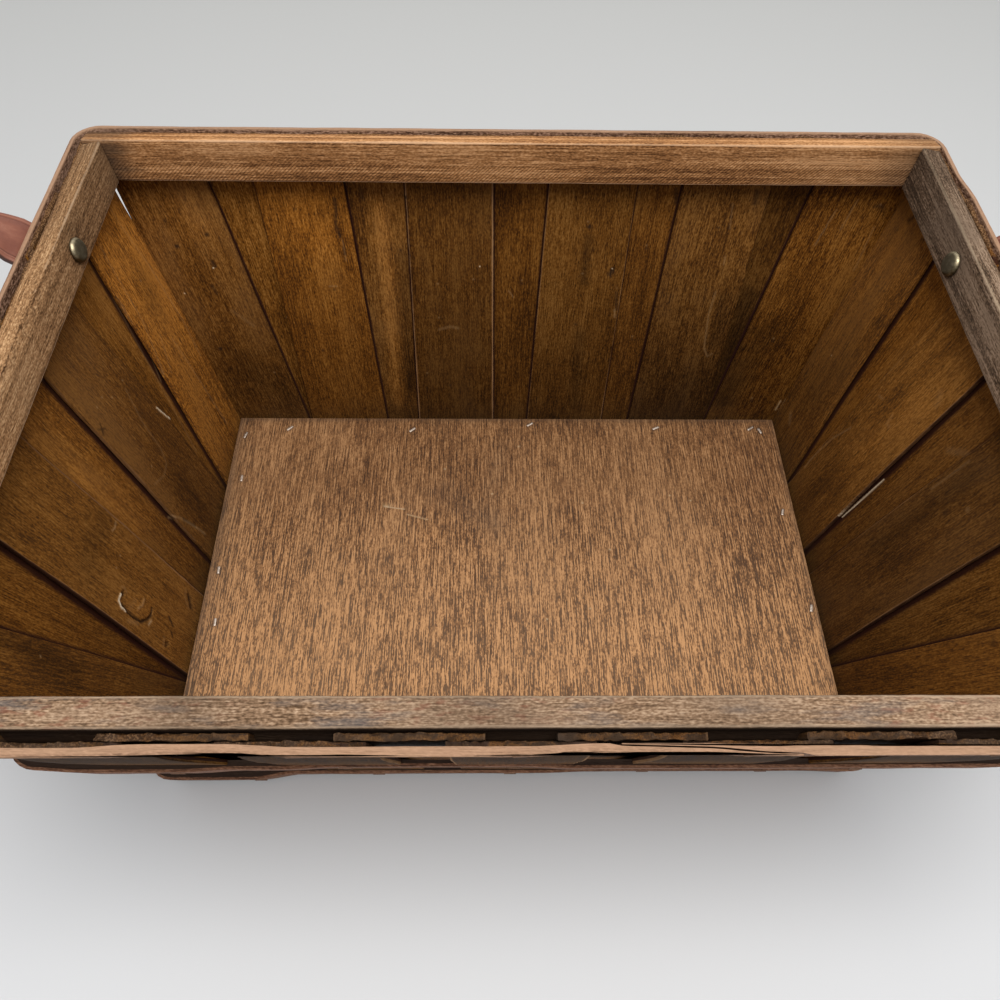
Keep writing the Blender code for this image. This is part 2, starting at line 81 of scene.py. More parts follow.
MM = 0.001
EDGE_BELT = 10.0 * MM  # how far in from its edges a face counts as near them
MID_WALL = 0.7  # height share of pieces with neither a dirty foot nor a torn top
Colour = tuple[float, float, float]


# --------------------------------------------------------------------------- shader expressions

def operator(operation: str, turned: bool = False) -> Callable[..., "Term"]:
    """Make an operator that adds a Math node.

    Args:
        operation: Name of the node's operation.
        turned: Whether the value itself is the second operand.

    Returns:
        A method of Term, with the other operand as its argument.
    """
    def apply(term: "Term", other: "Operand" = 0.0) -> "Term":
        """The node's result."""
        return term._math(operation, other, term) if turned else term._math(operation, term, other)
    return apply


class Term:
    """A value in a material, on which arithmetic can be written."""

    def __init__(self, tree: bpy.types.NodeTree, socket: bpy.types.NodeSocket) -> None:
        """Keep the node tree and the socket that gives the value."""
        self.tree = tree
        self.socket = socket

    def _math(self, operation: str, first: "Operand", second: "Operand" = 0.0,
              clamp: bool = False) -> "Term":
        """Add a Math node.

        Args:
            operation: Name of the node's operation.
            first: First operand.
            second: Second operand.
            clamp: Whether the result is kept between 0 and 1.

        Returns:
            The node's result.
        """
        node = self.tree.nodes.new("ShaderNodeMath")
        node.operation = operation
        node.use_clamp = clamp
        plug(self.tree, node.inputs[0], first)
        plug(self.tree, node.inputs[1], second)
        return Term(self.tree, node.outputs[0])

    __add__, __radd__ = operator("ADD"), operator("ADD", turned=True)
    __sub__, __rsub__ = operator("SUBTRACT"), operator("SUBTRACT", turned=True)
    __mul__, __rmul__ = operator("MULTIPLY"), operator("MULTIPLY", turned=True)
    at_least = operator("MAXIMUM")
    __abs__ = operator("ABSOLUTE")
    sine = operator("SINE")

    def __neg__(self) -> "Term":
        """The value with its sign turned."""
        return self * -1.0

    def clamped(self) -> "Term":
        """The value kept between 0 and 1."""
        return self._math("ADD", self, clamp=True)

    def between(self, low: float, high: float) -> "Term":
        """A ramp from 0 at one value to 1 at another.

        Args:
            low: Value at which the ramp leaves 0.
            high: Value at which it reaches 1. It may lie below low.

        Returns:
            The ramp's value.
        """
        return self._math("MULTIPLY", self - low, 1.0 / (high - low), clamp=True)


Operand = Union[Term, float, int, Sequence[float]]


def plug(tree: bpy.types.NodeTree, socket: bpy.types.NodeSocket, value: Operand) -> None:
    """Give a socket its value or its link.

    Args:
        tree: Node tree of the material.
        socket: Input socket.
        value: A term to link, or a constant.
    """
    if isinstance(value, Term):
        tree.links.new(value.socket, socket)
    elif isinstance(value, (int, float)):
        socket.default_value = value
    else:
        numbers = tuple(value)
        socket.default_value = (*numbers, 1.0) if socket.type == "RGBA" else numbers


class Recipe:
    """A material while its nodes are laid out."""

    def __init__(self, name: str) -> None:
        """Start a material with an empty tree.

        Args:
            name: The material's name.
        """
        self.material = bpy.data.materials.new(name)
        self.material.use_nodes = True
        self.tree = self.material.node_tree
        self.tree.nodes.clear()

    def node(self, kind: str, settings: Optional[dict[str, Any]] = None,
             values: Optional[dict[Union[int, str], Operand]] = None,
             output: Union[int, str] = 0) -> Term:
        """Add a node.

        Args:
            kind: Type of the node.
            settings: Its settings. The stops of a ramp are pairs of place and colour.
            values: Values or links of its sockets.
            output: Which output is returned.

        Returns:
            The chosen output.
        """
        made = self.tree.nodes.new(kind)
        for name, setting in (settings or {}).items():
            if name == "stops":
                self._set_stops(made.color_ramp, setting)
            else:
                setattr(made, name, setting)
        for name, value in (values or {}).items():
            plug(self.tree, made.inputs[name], value)
        return Term(self.tree, made.outputs[output])

    @staticmethod
    def _set_stops(ramp: bpy.types.ColorRamp, stops: Sequence[tuple[float, Colour]]) -> None:
        """Set the stops of a colour ramp.

        Args:
            ramp: The ramp.
            stops: Place and colour of each.
        """
        while len(ramp.elements) < len(stops):
            ramp.elements.new(1.0)
        for element, (place, colour) in zip(ramp.elements, stops):
            element.position = place
            element.color = (*colour, 1.0)

    def attribute(self, name: str) -> Term:
        """A vector attribute of the piece."""
        return self.node("ShaderNodeAttribute", {"attribute_name": name}, output="Vector")

    def split(self, vector: Term) -> tuple[Term, Term, Term]:
        """The three parts of a vector.

        Args:
            vector: The vector.

        Returns:
            Its parts along X, Y and Z.
        """
        made = self.tree.nodes.new("ShaderNodeSeparateXYZ")
        self.tree.links.new(vector.socket, made.inputs[0])
        return tuple(Term(self.tree, output) for output in made.outputs)

    def shift(self, vector: Term, offset: Operand) -> Term:
        """A vector moved by another one."""
        return self.node("ShaderNodeVectorMath", {"operation": "ADD"}, {0: vector, 1: offset})

    def combine(self, first: Operand, second: Operand, third: Operand) -> Term:
        """A vector of three values."""
        return self.node("ShaderNodeCombineXYZ", None, {0: first, 1: second, 2: third})

    def noise(self, vector: Term, scale: tuple[float, float, float], detail: float = 2.0,
              rough: float = 0.5) -> Term:
        """Cloudy noise from 0 to 1.

        Args:
            vector: Where it is read.
            scale: Number of clouds in a metre along each axis.
            detail: Finer layers of the noise.
            rough: How strong they are.

        Returns:
            The noise.
        """
        spot = self.node("ShaderNodeVectorMath", {"operation": "MULTIPLY"},
                         {0: vector, 1: scale})
        return self.node("ShaderNodeTexNoise", {"noise_dimensions": "3D"},
                         {"Vector": spot, "Scale": 1.0, "Detail": detail, "Roughness": rough})

    def mix(self, share: Operand, first: Operand, second: Operand, blend: str = "MIX") -> Term:
        """A mixture of two colours.

        Args:
            share: Share of the second colour.
            first: First colour.
            second: Second colour.
            blend: How the second colour is laid over the first.

        Returns:
            The mixed colour.
        """
        return self.node("ShaderNodeMix", {"data_type": "RGBA", "blend_type": blend},
                         {0: share, 6: first, 7: second}, output=2)

    def ramp(self, value: Term, stops: Sequence[tuple[float, Colour]]) -> Term:
        """A colour picked by a value."""
        return self.node("ShaderNodeValToRGB", {"stops": stops}, {0: value})

    def bump(self, height: Term) -> Term:
        """The surface normal under a height in metres."""
        return self.node("ShaderNodeBump", None, {"Height": height, "Distance": 1.0,
                                                  "Strength": 1.0})

    def finish(self, colour: Operand, roughness: Operand, normal: Optional[Term] = None,
               others: Optional[dict[str, Operand]] = None) -> bpy.types.Material:
        """Close the recipe with its shader.

        Args:
            colour: Base colour.
            roughness: Roughness.
            normal: Surface normal, where the surface has relief.
            others: Values of other sockets.

        Returns:
            The material.
        """
        values = {"Base Color": colour, "Roughness": roughness, **(others or {})}
        if normal is not None:
            values["Normal"] = normal
        shader = self.node("ShaderNodeBsdfPrincipled", None, values)
        end = self.tree.nodes.new("ShaderNodeOutputMaterial")
        self.tree.links.new(shader.socket, end.inputs[0])
        return self.material


# --------------------------------------------------------------------------- finishes

class SawMarks(Enum):
    """Marks that a saw leaves on a rough piece."""

    NONE = "none"
    DIAGONAL = "diagonal"


@dataclass(frozen=True)
class WoodFinish:
    """How one kind of wood looks. Widths and lengths are in millimetres."""

    name: str
    deep: Colour
    middle: Colour
    pale: Colour
    greyed: Colour
    grey_share: float = 0.3
    speck: tuple[float, float] = (0.5, 7.0)
    speck_contrast: float = 0.9
    dust: float = 0.65
    fibre: tuple[float, float] = (0.9, 60.0)
    fibre_contrast: float = 0.45
    streak: tuple[float, float] = (7.0, 400.0)
    streak_contrast: float = 0.3
    cloud: float = 30.0
    cloud_contrast: float = 0.7
    pore: tuple[float, float] = (0.6, 6.0)
    pore_share: float = 0.25
    pore_colour: Colour = (0.045, 0.018, 0.006)
    wander: float = 3.0
    edge_wear: float = 0.7
    edge_colour: Colour = (0.38, 0.21, 0.10)
    end_colour: Colour = (0.058, 0.027, 0.011)
    lap_colour: Colour = (0.020, 0.005, 0.004)
    foot_colour: Colour = (0.035, 0.018, 0.009)
    dirt_colour: Colour = (0.050, 0.032, 0.021)
    hole_colour: Colour = (0.018, 0.009, 0.005)
    scratch_colour: Colour = (0.42, 0.26, 0.12)
    fresh_colour: Colour = (0.72, 0.60, 0.44)
    saw: SawMarks = SawMarks.NONE
    stain: Colour = (0.10, 0.10, 0.11)
    stain_share: float = 0.0
    fleck: Colour = (0.20, 0.07, 0.04)
    fleck_share: float = 0.0
    roughness: float = 0.66
    roughness_spread: float = 0.25
    gloss: float = 0.10
    relief: float = 0.14

    def material(self) -> bpy.types.Material:
        """Lay out the wood's material.

        Returns:
            A material that reads the attributes grain, place, tone and mark.
        """
        recipe = Recipe(self.name)
        grain = recipe.attribute("grain")
        edge, rise, height = recipe.split(recipe.attribute("place"))
        light, grey, streaky = recipe.split(recipe.attribute("tone"))
        groove, dark_edge, _ = recipe.split(recipe.attribute("lap"))
        dark_mark, pale_mark, dirt_and_shade_mark = recipe.split(recipe.attribute("mark"))
        waves = recipe.noise(grain, (24.0, 24.0, 8.0), 2.0) - 0.5
        run = recipe.shift(grain, recipe.combine(waves * (self.wander * MM), 0.0, 0.0))

        def threads(size: tuple[float, float], detail: float) -> Term:
            """Noise drawn out along the grain, of a width and a length.

            Args:
                size: Width and length of its threads.
                detail: Finer layers of the noise.

            Returns:
                The noise.
            """
            width, length = size
            across, along = 1 / (width * MM), 1 / (length * MM)
            return recipe.noise(run, (across, across, along), detail, 0.6)

        speck = threads(self.speck, 2.0) - 0.5
        fibre = threads(self.fibre, 3.0) - 0.5
        streak = threads(self.streak, 2.0) - 0.5
        pores = threads(self.pore, 1.0).between(0.58, 0.68)
        size = 1 / (self.cloud * MM)
        patch = recipe.noise(grain, (size, size, size * 0.4), 3.0, 0.55) - 0.5
        dust = recipe.noise(grain, (1350.0, 1350.0, 620.0), 1.0) - 0.5
        lines = fibre * (self.fibre_contrast * 2) + streak * (self.streak_contrast * 2)
        fine = speck * (self.speck_contrast * 2) + dust * (self.dust * 2) + lines
        shade = (fine * (streaky + 1.0) + patch * (self.cloud_contrast * 2) + 0.5).clamped()
        colour = recipe.ramp(shade, ((0.0, tuple(part * 0.7 for part in self.deep)),
                                     (0.5, self.middle),
                                     (1.0, tuple(part * 1.15 for part in self.pale))))
        weathered = (patch.between(-0.02, 0.2) * self.grey_share + grey).clamped()
        colour = recipe.mix(weathered, colour,
                            recipe.mix((shade * 0.6).clamped(), self.greyed, self.middle))
        colour = recipe.mix(pores * self.pore_share, colour, self.pore_colour)
        if self.stain_share:
            stain = recipe.noise(grain, (130.0, 130.0, 28.0), 4.0, 0.65)
            colour = recipe.mix(stain.between(0.50, 0.68) * self.stain_share, colour, self.stain)
        if self.fleck_share:
            fleck = recipe.noise(grain, (420.0, 420.0, 150.0), 2.0)
            region = recipe.noise(grain, (20.0, 20.0, 9.0), 1.0)
            share = fleck.between(0.55, 0.66) * region.between(0.45, 0.6)
            colour = recipe.mix(share * self.fleck_share, colour, self.fleck)
        colour = recipe.mix(1.0, colour, recipe.combine(light, light, light), "MULTIPLY")
        # Pale edges: wear, and on the slats a painted highlight where their edges catch the light.
        rim = (edge + fibre * 0.12 + patch * 0.12).between(0.88, 0.96)
        colour = recipe.mix(rim * self.edge_wear, colour, self.edge_colour)
        # Painted shade in the laps: dark grooves beside the inner slats and dark edges on the end
        # walls.
        shaded_lap = (edge.between(0.90, 0.95) * dark_edge).at_least(groove.between(0.83, 0.93))
        colour = recipe.mix(shaded_lap * 0.92, colour, self.lap_colour)
        foot = (1 - rise).between(0.82, 1.0) * (patch + 0.75)
        colour = recipe.mix((foot * 0.6).clamped(), colour, self.foot_colour)
        top = (rise + speck * 0.01).between(0.982, 0.990)
        torn = recipe.mix(dust.between(-0.02, 0.12) * 0.55, self.end_colour, self.edge_colour)
        colour = recipe.mix(top * 0.9, colour, torn)
        # Dirt, and painted shade where the near slats' tops are marked.
        dirt = (dirt_and_shade_mark * (patch * 2.4 + 1.0)).clamped()
        colour = recipe.mix(dirt, colour, self.dirt_colour)
        # Dark marks: holes and cracks, and painted shade on the near rail and the near bands.
        colour = recipe.mix(dark_mark, colour, self.hole_colour)
        colour = recipe.mix(pale_mark, colour, recipe.ramp(
            pale_mark, ((0.3, self.scratch_colour), (0.9, self.fresh_colour))))
        relief = (speck * 0.5 + fibre * 0.6 - pores * 0.5) * (self.relief * MM)
        if self.saw is SawMarks.DIAGONAL:
            relief = relief + self._saw_relief(recipe, grain, height)
        rough = (fibre * self.roughness_spread + weathered * 0.12
                 + height.between(0.45, 0.55) * 0.1 + self.roughness)
        return recipe.finish(colour, rough.clamped(), recipe.bump(relief),
                             {"Specular IOR Level": self.gloss})

    @staticmethod
    def _saw_relief(recipe: Recipe, grain: Term, height: Term) -> Term:
        """Relief of slanting saw marks over the lower half of a face.

        Args:
            recipe: The wood's recipe.
            grain: Place in the grain.
            height: Height on the face.

        Returns:
            The relief's height.
        """
        across, _, along = recipe.split(grain)
        spread = recipe.noise(grain, (300.0, 300.0, 60.0), 2.0)
        phase = (along - across * 1.1) * (math.tau / (2.1 * MM)) + spread * 3.0
        ragged = recipe.noise(grain, (50.0, 50.0, 25.0), 3.0)
        lower = (ragged * 1.3 - height).between(0.35, 0.85)
        return phase.sine() * lower * (0.10 * MM)


SLAT_AMBER = WoodFinish("slat amber", (0.100, 0.031, 0.003), (0.245, 0.087, 0.009),
                        (0.40, 0.170, 0.030), (0.105, 0.052, 0.020))
SLAT_BROWN = WoodFinish("slat brown", (0.080, 0.026, 0.003), (0.185, 0.067, 0.008),
                        (0.30, 0.132, 0.026), (0.090, 0.047, 0.019), grey_share=0.45)
SLAT_HONEY = WoodFinish("slat honey", (0.13, 0.043, 0.004), (0.31, 0.116, 0.014),
                        (0.49, 0.222, 0.048), (0.15, 0.080, 0.032), grey_share=0.2)
SLAT_UMBER = WoodFinish("slat umber", (0.058, 0.020, 0.003), (0.130, 0.049, 0.007),
                        (0.22, 0.100, 0.023), (0.080, 0.043, 0.020), grey_share=0.5)
RAIL_FAR = WoodFinish("rail far", (0.14, 0.054, 0.017), (0.32, 0.145, 0.052), (0.52, 0.280, 0.130),
                      (0.22, 0.115, 0.050), speck=(0.5, 9.0), speck_contrast=0.7, dust=0.6,
                      fibre=(0.9, 220.0), fibre_contrast=0.65, streak=(2.6, 500.0),
                      streak_contrast=0.8, cloud=40.0, cloud_contrast=0.6, wander=1.0,
                      edge_colour=(0.66, 0.42, 0.25), saw=SawMarks.DIAGONAL, roughness=0.7,
                      relief=0.2)
RAIL_NEAR = WoodFinish("rail near", (0.11, 0.062, 0.032), (0.235, 0.143, 0.083),
                       (0.40, 0.275, 0.180), (0.19, 0.135, 0.10), grey_share=0.5,
                       speck=(0.5, 6.0), speck_contrast=0.6, dust=0.8, fibre=(0.8, 40.0),
                       fibre_contrast=0.5, streak=(3.0, 160.0), streak_contrast=0.35,
                       cloud=26.0, cloud_contrast=0.6, edge_colour=(0.52, 0.38, 0.26),
                       edge_wear=0.6, stain=(0.085, 0.085, 0.088), stain_share=0.6,
                       fleck_share=0.5, roughness=0.75, relief=0.16)
RAIL_LEFT = WoodFinish("rail left", (0.12, 0.058, 0.024), (0.265, 0.140, 0.062),
                       (0.42, 0.260, 0.135), (0.19, 0.115, 0.060), grey_share=0.5,
                       speck=(0.5, 6.0), speck_contrast=0.6, dust=0.7, fibre=(1.0, 90.0),
                       fibre_contrast=0.6, streak=(3.0, 300.0), cloud=34.0, cloud_contrast=0.4,
                       edge_colour=(0.58, 0.40, 0.25), edge_wear=0.75, roughness=0.75)
RAIL_RIGHT = WoodFinish("rail right", (0.062, 0.038, 0.022), (0.175, 0.110, 0.067),
                        (0.33, 0.230, 0.155), (0.130, 0.092, 0.066), grey_share=0.6,
                        speck=(0.5, 5.0), speck_contrast=0.7, dust=0.8, fibre=(1.0, 60.0),
                        fibre_contrast=0.7, streak=(3.0, 260.0), streak_contrast=0.9, cloud=20.0,
                        cloud_contrast=1.0, edge_colour=(0.40, 0.30, 0.20), roughness=0.75,
                        relief=0.28)
BATTEN = WoodFinish("batten", (0.26, 0.155, 0.075), (0.42, 0.285, 0.155), (0.56, 0.41, 0.25),
                    (0.30, 0.24, 0.17), fibre=(1.2, 120.0), streak=(5.0, 400.0),
                    streak_contrast=0.6, cloud_contrast=0.5, edge_wear=0.3,
                    edge_colour=(0.50, 0.36, 0.22), roughness=0.8, relief=0.2)
BOARD = WoodFinish("board", (0.105, 0.040, 0.011), (0.290, 0.124, 0.039), (0.55, 0.285, 0.120),
                   (0.39, 0.245, 0.135), grey_share=0.12, speck=(0.5, 9.0),
                   speck_contrast=1.9, dust=0.9, fibre=(0.7, 40.0), fibre_contrast=1.8,
                   streak=(11.0, 90.0), streak_contrast=0.25, cloud=55.0,
                   cloud_contrast=0.45, pore=(0.6, 7.0), pore_share=0.45,
                   pore_colour=(0.070, 0.030, 0.012), wander=0.8,
                   edge_wear=0.35, edge_colour=(0.14, 0.08, 0.045), roughness=0.62,
                   gloss=0.35, relief=0.2)
BAND = WoodFinish("band", (0.075, 0.030, 0.015), (0.190, 0.098, 0.056), (0.37, 0.220, 0.145),
                  (0.140, 0.090, 0.062), grey_share=0.4, speck=(0.5, 4.0), dust=1.1,
                  fibre=(0.8, 60.0), streak=(4.0, 300.0), edge_colour=(0.43, 0.255, 0.155),
                  edge_wear=0.8, roughness=0.7, gloss=0.12, relief=0.22)
HOOP = WoodFinish("hoop", (0.075, 0.030, 0.014), (0.185, 0.080, 0.042), (0.32, 0.165, 0.095),
                  (0.12, 0.070, 0.046), grey_share=0.35, fibre=(0.8, 60.0),
                  streak=(4.0, 300.0), edge_colour=(0.40, 0.25, 0.17), edge_wear=0.8,
                  roughness=0.7, gloss=0.2, relief=0.2)


@dataclass(frozen=True)
class LeatherFinish:
    """Waxed saddle leather with darker edges and a pressed crease."""

    name: str = "strap leather"
    deep: Colour = (0.150, 0.040, 0.022)
    middle: Colour = (0.235, 0.078, 0.044)
    rubbed: Colour = (0.40, 0.180, 0.115)
    edge: Colour = (0.060, 0.022, 0.014)
    roughness: float = 0.5

    def material(self) -> bpy.types.Material:
        """Lay out the leather's material.

        Returns:
            A material that reads the attributes grain and place.
        """
        recipe = Recipe(self.name)
        grain = recipe.attribute("grain")
        across, _, crease = recipe.split(recipe.attribute("place"))
        pull = recipe.noise(grain, (60.0, 60.0, 38.0), 5.0, 0.65)
        pebble = recipe.noise(grain, (1500.0, 1500.0, 1200.0), 2.0)
        crack = recipe.noise(grain, (260.0, 260.0, 700.0), 3.0, 0.7)
        colour = recipe.ramp(pull, ((0.28, self.deep), (0.52, self.middle), (0.80, self.rubbed)))
        worn = abs(across).between(0.80, 0.97) * pull.between(0.35, 0.6)
        colour = recipe.mix(worn * 0.5, colour, self.rubbed)
        colour = recipe.mix(crack.between(0.60, 0.72) * 0.35, colour, self.deep)
        # Darker in the crease's groove; a painted highlight in the rubbed colour on the ridge
        # beside it.
        colour = recipe.mix(crease.between(0.5, 1.0) * 0.75, colour, self.edge)
        colour = recipe.mix((-crease).between(0.5, 1.0) * 0.55, colour, self.rubbed)
        colour = recipe.mix(abs(across).between(0.975, 1.0), colour, self.edge)
        height = (pebble * 0.05 - crack.between(0.60, 0.72) * 0.05 + pull * 0.1) * MM
        rough = (pull - 0.5) * 0.25 + self.roughness
        return recipe.finish(colour, rough, recipe.bump(height), {"Specular IOR Level": 0.45})


@dataclass(frozen=True)
class MetalFinish:
    """Old metal: rubbed bright where it stands proud, dull and with stains in the hollows."""

    name: str
    bright: Colour
    dull: Colour
    stain: Colour
    roughness: float = 0.38

    def material(self) -> bpy.types.Material:
        """Lay out the metal's material.

        Returns:
            A material that reads the attribute place, whose first part is 1 where rubbed bright or
            lit by a painted highlight.
        """
        recipe = Recipe(self.name)
        rubbed, crust, _ = recipe.split(recipe.attribute("place"))
        where = recipe.node("ShaderNodeTexCoord", output="Object")
        cloud = recipe.noise(where, (420.0, 420.0, 420.0), 4.0, 0.65)
        speck = recipe.noise(where, (1900.0, 1900.0, 1900.0), 2.0)
        colour = recipe.mix((rubbed * 0.8 + cloud.between(0.45, 0.75) * 0.35).clamped(),
                            self.dull, self.bright)
        colour = recipe.mix((speck.between(0.60, 0.72) * 0.7 + crust * 0.75).clamped(), colour,
                            self.stain)
        tarnish = (cloud.between(0.35, 0.65) * 0.25 + self.roughness
                   + speck.between(0.60, 0.72) * 0.2 + crust * 0.3)
        metallic = (1.0 - speck.between(0.62, 0.74) * 0.5 - crust * 0.8).clamped()
        return recipe.finish(colour, tarnish - rubbed * 0.12,
                             recipe.bump((cloud * 0.08 + speck * 0.02) * MM),
                             {"Metallic": metallic})


BRASS = MetalFinish("old brass", (0.56, 0.47, 0.31), (0.085, 0.064, 0.032), (0.040, 0.031, 0.016),
                    0.38)
STEEL = MetalFinish("staple wire", (0.80, 0.70, 0.60), (0.42, 0.32, 0.25), (0.14, 0.07, 0.035),
                    0.5)
RUST = MetalFinish("rusted wire", (0.26, 0.16, 0.11), (0.13, 0.070, 0.040), (0.06, 0.028, 0.016),
                   0.65)


@lru_cache(maxsize=None)
def material_of(finish: Any) -> bpy.types.Material:
    """The material of a finish, made when it is first asked for."""
    return finish.material()


# --------------------------------------------------------------------------- workbench

def columns(*parts: Union[np.ndarray, float]) -> np.ndarray:
    """Rows of numbers from their columns. One number fills its whole column."""
    return np.column_stack(np.broadcast_arrays(*parts))


def put_in(name: str, data: bpy.types.ID) -> bpy.types.Object:
    """Put a new object into the scene.

    Args:
        name: Its name.
        data: Its mesh, lamp or camera.

    Returns:
        The object.
    """
    made = bpy.data.objects.new(name, data)
    bpy.context.scene.collection.objects.link(made)
    return made


def rows_of(layer: Any, name: str) -> np.ndarray:
    """Read the vectors of a mesh's layer.

    Args:
        layer: The layer.
        name: Name of its vector.

    Returns:
        One row for each vector.
    """
    flat = np.zeros(len(layer) * 3, np.float32)
    layer.foreach_get(name, flat)
    return flat.reshape(-1, 3).astype(float)


class Piece:
    """A mesh object on the workbench."""

    def __init__(self, body: bpy.types.Object) -> None:
        """Take an object of the scene in hand."""
        self.body = body

    @classmethod
    def new(cls, name: str, mesh: bpy.types.Mesh) -> "Piece":
        """A piece with a mesh of its own."""
        return cls(put_in(name, mesh))

    @classmethod
    def active(cls, name: str) -> "Piece":
        """Take the shape that was added last in hand.

        Args:
            name: Its new name.

        Returns:
            The piece, with its place and size worked into its mesh.
        """
        piece = cls(bpy.context.active_object)
        piece.body.name = name
        bpy.ops.object.transform_apply(location=True, rotation=True, scale=True)
        return piece

    @classmethod
    def copy_solid(cls, node: str, name: str) -> "Piece":
        """A copy of a solid with its loose triangles merged into clean faces.

        Args:
            node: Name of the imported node.
            name: Name of the new piece.

        Returns:
            The new piece.
        """
        mesh = frame["nodes"][node].data.copy()
        mesh.name = name
        mesh.materials.clear()
        piece = cls.new(name, mesh)
        piece.open()
        bpy.ops.mesh.customdata_custom_splitnormals_clear()
        bpy.ops.mesh.remove_doubles(threshold=0.01 * MM)
        bpy.ops.mesh.tris_convert_to_quads()
        piece.close()
        return piece

    @property
    def mesh(self) -> bpy.types.Mesh:
        """The piece's mesh."""
        return self.body.data

    @property
    def points(self) -> np.ndarray:
        """Places of the vertices, one row each."""
        return rows_of(self.mesh.vertices, "co")

    @property
    def normals(self) -> np.ndarray:
        """Normals at the vertices, one row each."""
        return rows_of(self.mesh.vertex_normals, "vector")

    def lone(self) -> None:
        """Select this piece and nothing else."""
        bpy.ops.object.select_all(action="DESELECT")
        self.body.select_set(True)
        bpy.context.view_layer.objects.active = self.body

    def pick(self, edges: Optional[np.ndarray] = None, faces: Optional[np.ndarray] = None
             ) -> None:
        """Select edges or faces, then open the piece for editing.

        Args:
            edges: Whether each edge is chosen, where edges are.
            faces: Whether each face is chosen, where faces are.
        """
        for parts in (self.mesh.vertices, self.mesh.edges, self.mesh.polygons):
            parts.foreach_set("select", np.zeros(len(parts), bool))
        self.lone()
        if edges is not None:
            self.mesh.edges.foreach_set("select", edges)
        if faces is not None:
            self.mesh.polygons.foreach_set("select", faces)
        bpy.context.tool_settings.mesh_select_mode = (False, faces is None, faces is not None)
        bpy.ops.object.mode_set(mode="EDIT")

    def open(self) -> None:
        """Open the piece for editing with all of it selected."""
        self.pick(faces=np.ones(len(self.mesh.polygons), bool))
        bpy.ops.mesh.select_all(action="SELECT")

    @staticmethod
    def close() -> None:
        """Leave the editing of a piece."""
        bpy.ops.object.mode_set(mode="OBJECT")

    def as_plank(self) -> None:
        """Turn a drilled plank back into its plain outline, with flat faces."""
        self.open()
        bpy.ops.mesh.convex_hull()
        bpy.ops.mesh.select_all(action="SELECT")
        bpy.ops.mesh.dissolve_limited(angle_limit=math.radians(2.0))
        bpy.ops.mesh.select_all(action="SELECT")
        bpy.ops.mesh.tris_convert_to_quads()
        self.close()

    def bevel(self, width: float) -> None:
        """Ease the sharp edges.

        Args:
            width: Width of the eased edges.
        """
        self.lone()
        bevel = self.body.modifiers.new("ease", "BEVEL")
        bevel.width = width
        bevel.segments = 2
        bevel.limit_method = "ANGLE"
        bevel.angle_limit = math.radians(40.0)
        bpy.ops.object.modifier_apply(modifier=bevel.name)

    def refine(self, longest: float,
               where: Optional[Callable[[np.ndarray], np.ndarray]] = None) -> None:
        """Divide long edges until none is longer than asked.

        Args:
            longest: Longest edge left.
            where: Picks edges by the middles of their lines, or all of them.
        """
        for _ in range(9):
            points = self.points
            ends = np.zeros(len(self.mesh.edges) * 2, np.int32)
            self.mesh.edges.foreach_get("vertices", ends)
            first, last = points[ends[::2]], points[ends[1::2]]
            chosen = np.linalg.norm(first - last, axis=1) > longest
            if where is not None:
                chosen &= where((first + last) / 2)
            if not chosen.any():
                return
            self.pick(edges=chosen)
            bpy.ops.mesh.subdivide(number_cuts=1, quadcorner="INNERVERT")
            self.close()

    def roughen(self, label: str, size: float, depth: float, direction: str = "NORMAL",
                middle: float = 0.5, detail: int = 2,
                weights: Optional[np.ndarray] = None) -> None:
        """Push the surface about by cloudy noise.

        Args:
            label: Name of the step.
            size: Size of the noise.
            depth: How far it moves the surface.
            direction: Along the surface's own direction or a world axis.
            middle: Noise value that leaves the surface in place.
            detail: Finer layers of the noise.
            weights: Share of the move at each vertex, or all of it everywhere.
        """
        texture = bpy.data.textures.new(label, "CLOUDS")
        texture.noise_scale = size
        texture.noise_depth = detail
        self.press(label, depth, weights, direction, middle, texture)
        bpy.data.textures.remove(texture)

    def press(self, label: str, depth: float, weights: Optional[np.ndarray] = None,
              direction: str = "NORMAL", middle: float = 0.0,
              texture: Optional[bpy.types.Texture] = None) -> None:
        """Move the surface by a depth times the weight of each vertex.

        Args:
            label: Name of the step.
            depth: How far the surface moves.
            weights: Share of the move at each vertex, or all of it everywhere.
            direction: Along the surface's own direction or a world axis.
            middle: Value of the texture that leaves the surface in place.
            texture: Noise that scales the move, if any.
        """
        self.lone()
        modifier = self.body.modifiers.new(label, "DISPLACE")
        modifier.texture = texture
        modifier.texture_coords = "LOCAL"
        modifier.direction = direction
        modifier.strength = depth
        modifier.mid_level = middle
        if weights is not None:
            group = self.body.vertex_groups.new(name=label)
            for number in np.nonzero(weights > 0.001)[0]:
                group.add([int(number)], float(min(weights[number], 1.0)), "REPLACE")
            modifier.vertex_group = group.name
        bpy.ops.object.modifier_apply(modifier=modifier.name)
        self.body.vertex_groups.clear()

    def paint(self, **layers: np.ndarray) -> None:
        """Store a vector at each vertex for every layer that the materials read.

        Args:
            layers: Rows of three numbers by the layer's name.
        """
        for name, values in layers.items():
            layer = self.mesh.attributes.new(name, "FLOAT_VECTOR", "POINT")
            layer.data.foreach_set("vector", np.ascontiguousarray(values, np.float32).ravel())

    def smooth(self, angle: float = 40.0) -> None:
        """Shade the piece smooth across all but its sharp edges."""
        self.lone()
        bpy.ops.object.shade_smooth_by_angle(angle=math.radians(angle))

    def place(self, matrix: Matrix) -> None:
        """Move the mesh to its place, with the object left at the origin.

        Args:
            matrix: The move.
        """
        self.mesh.transform(matrix)
        self.body.matrix_world = Matrix.Identity(4)
        self.mesh.update()

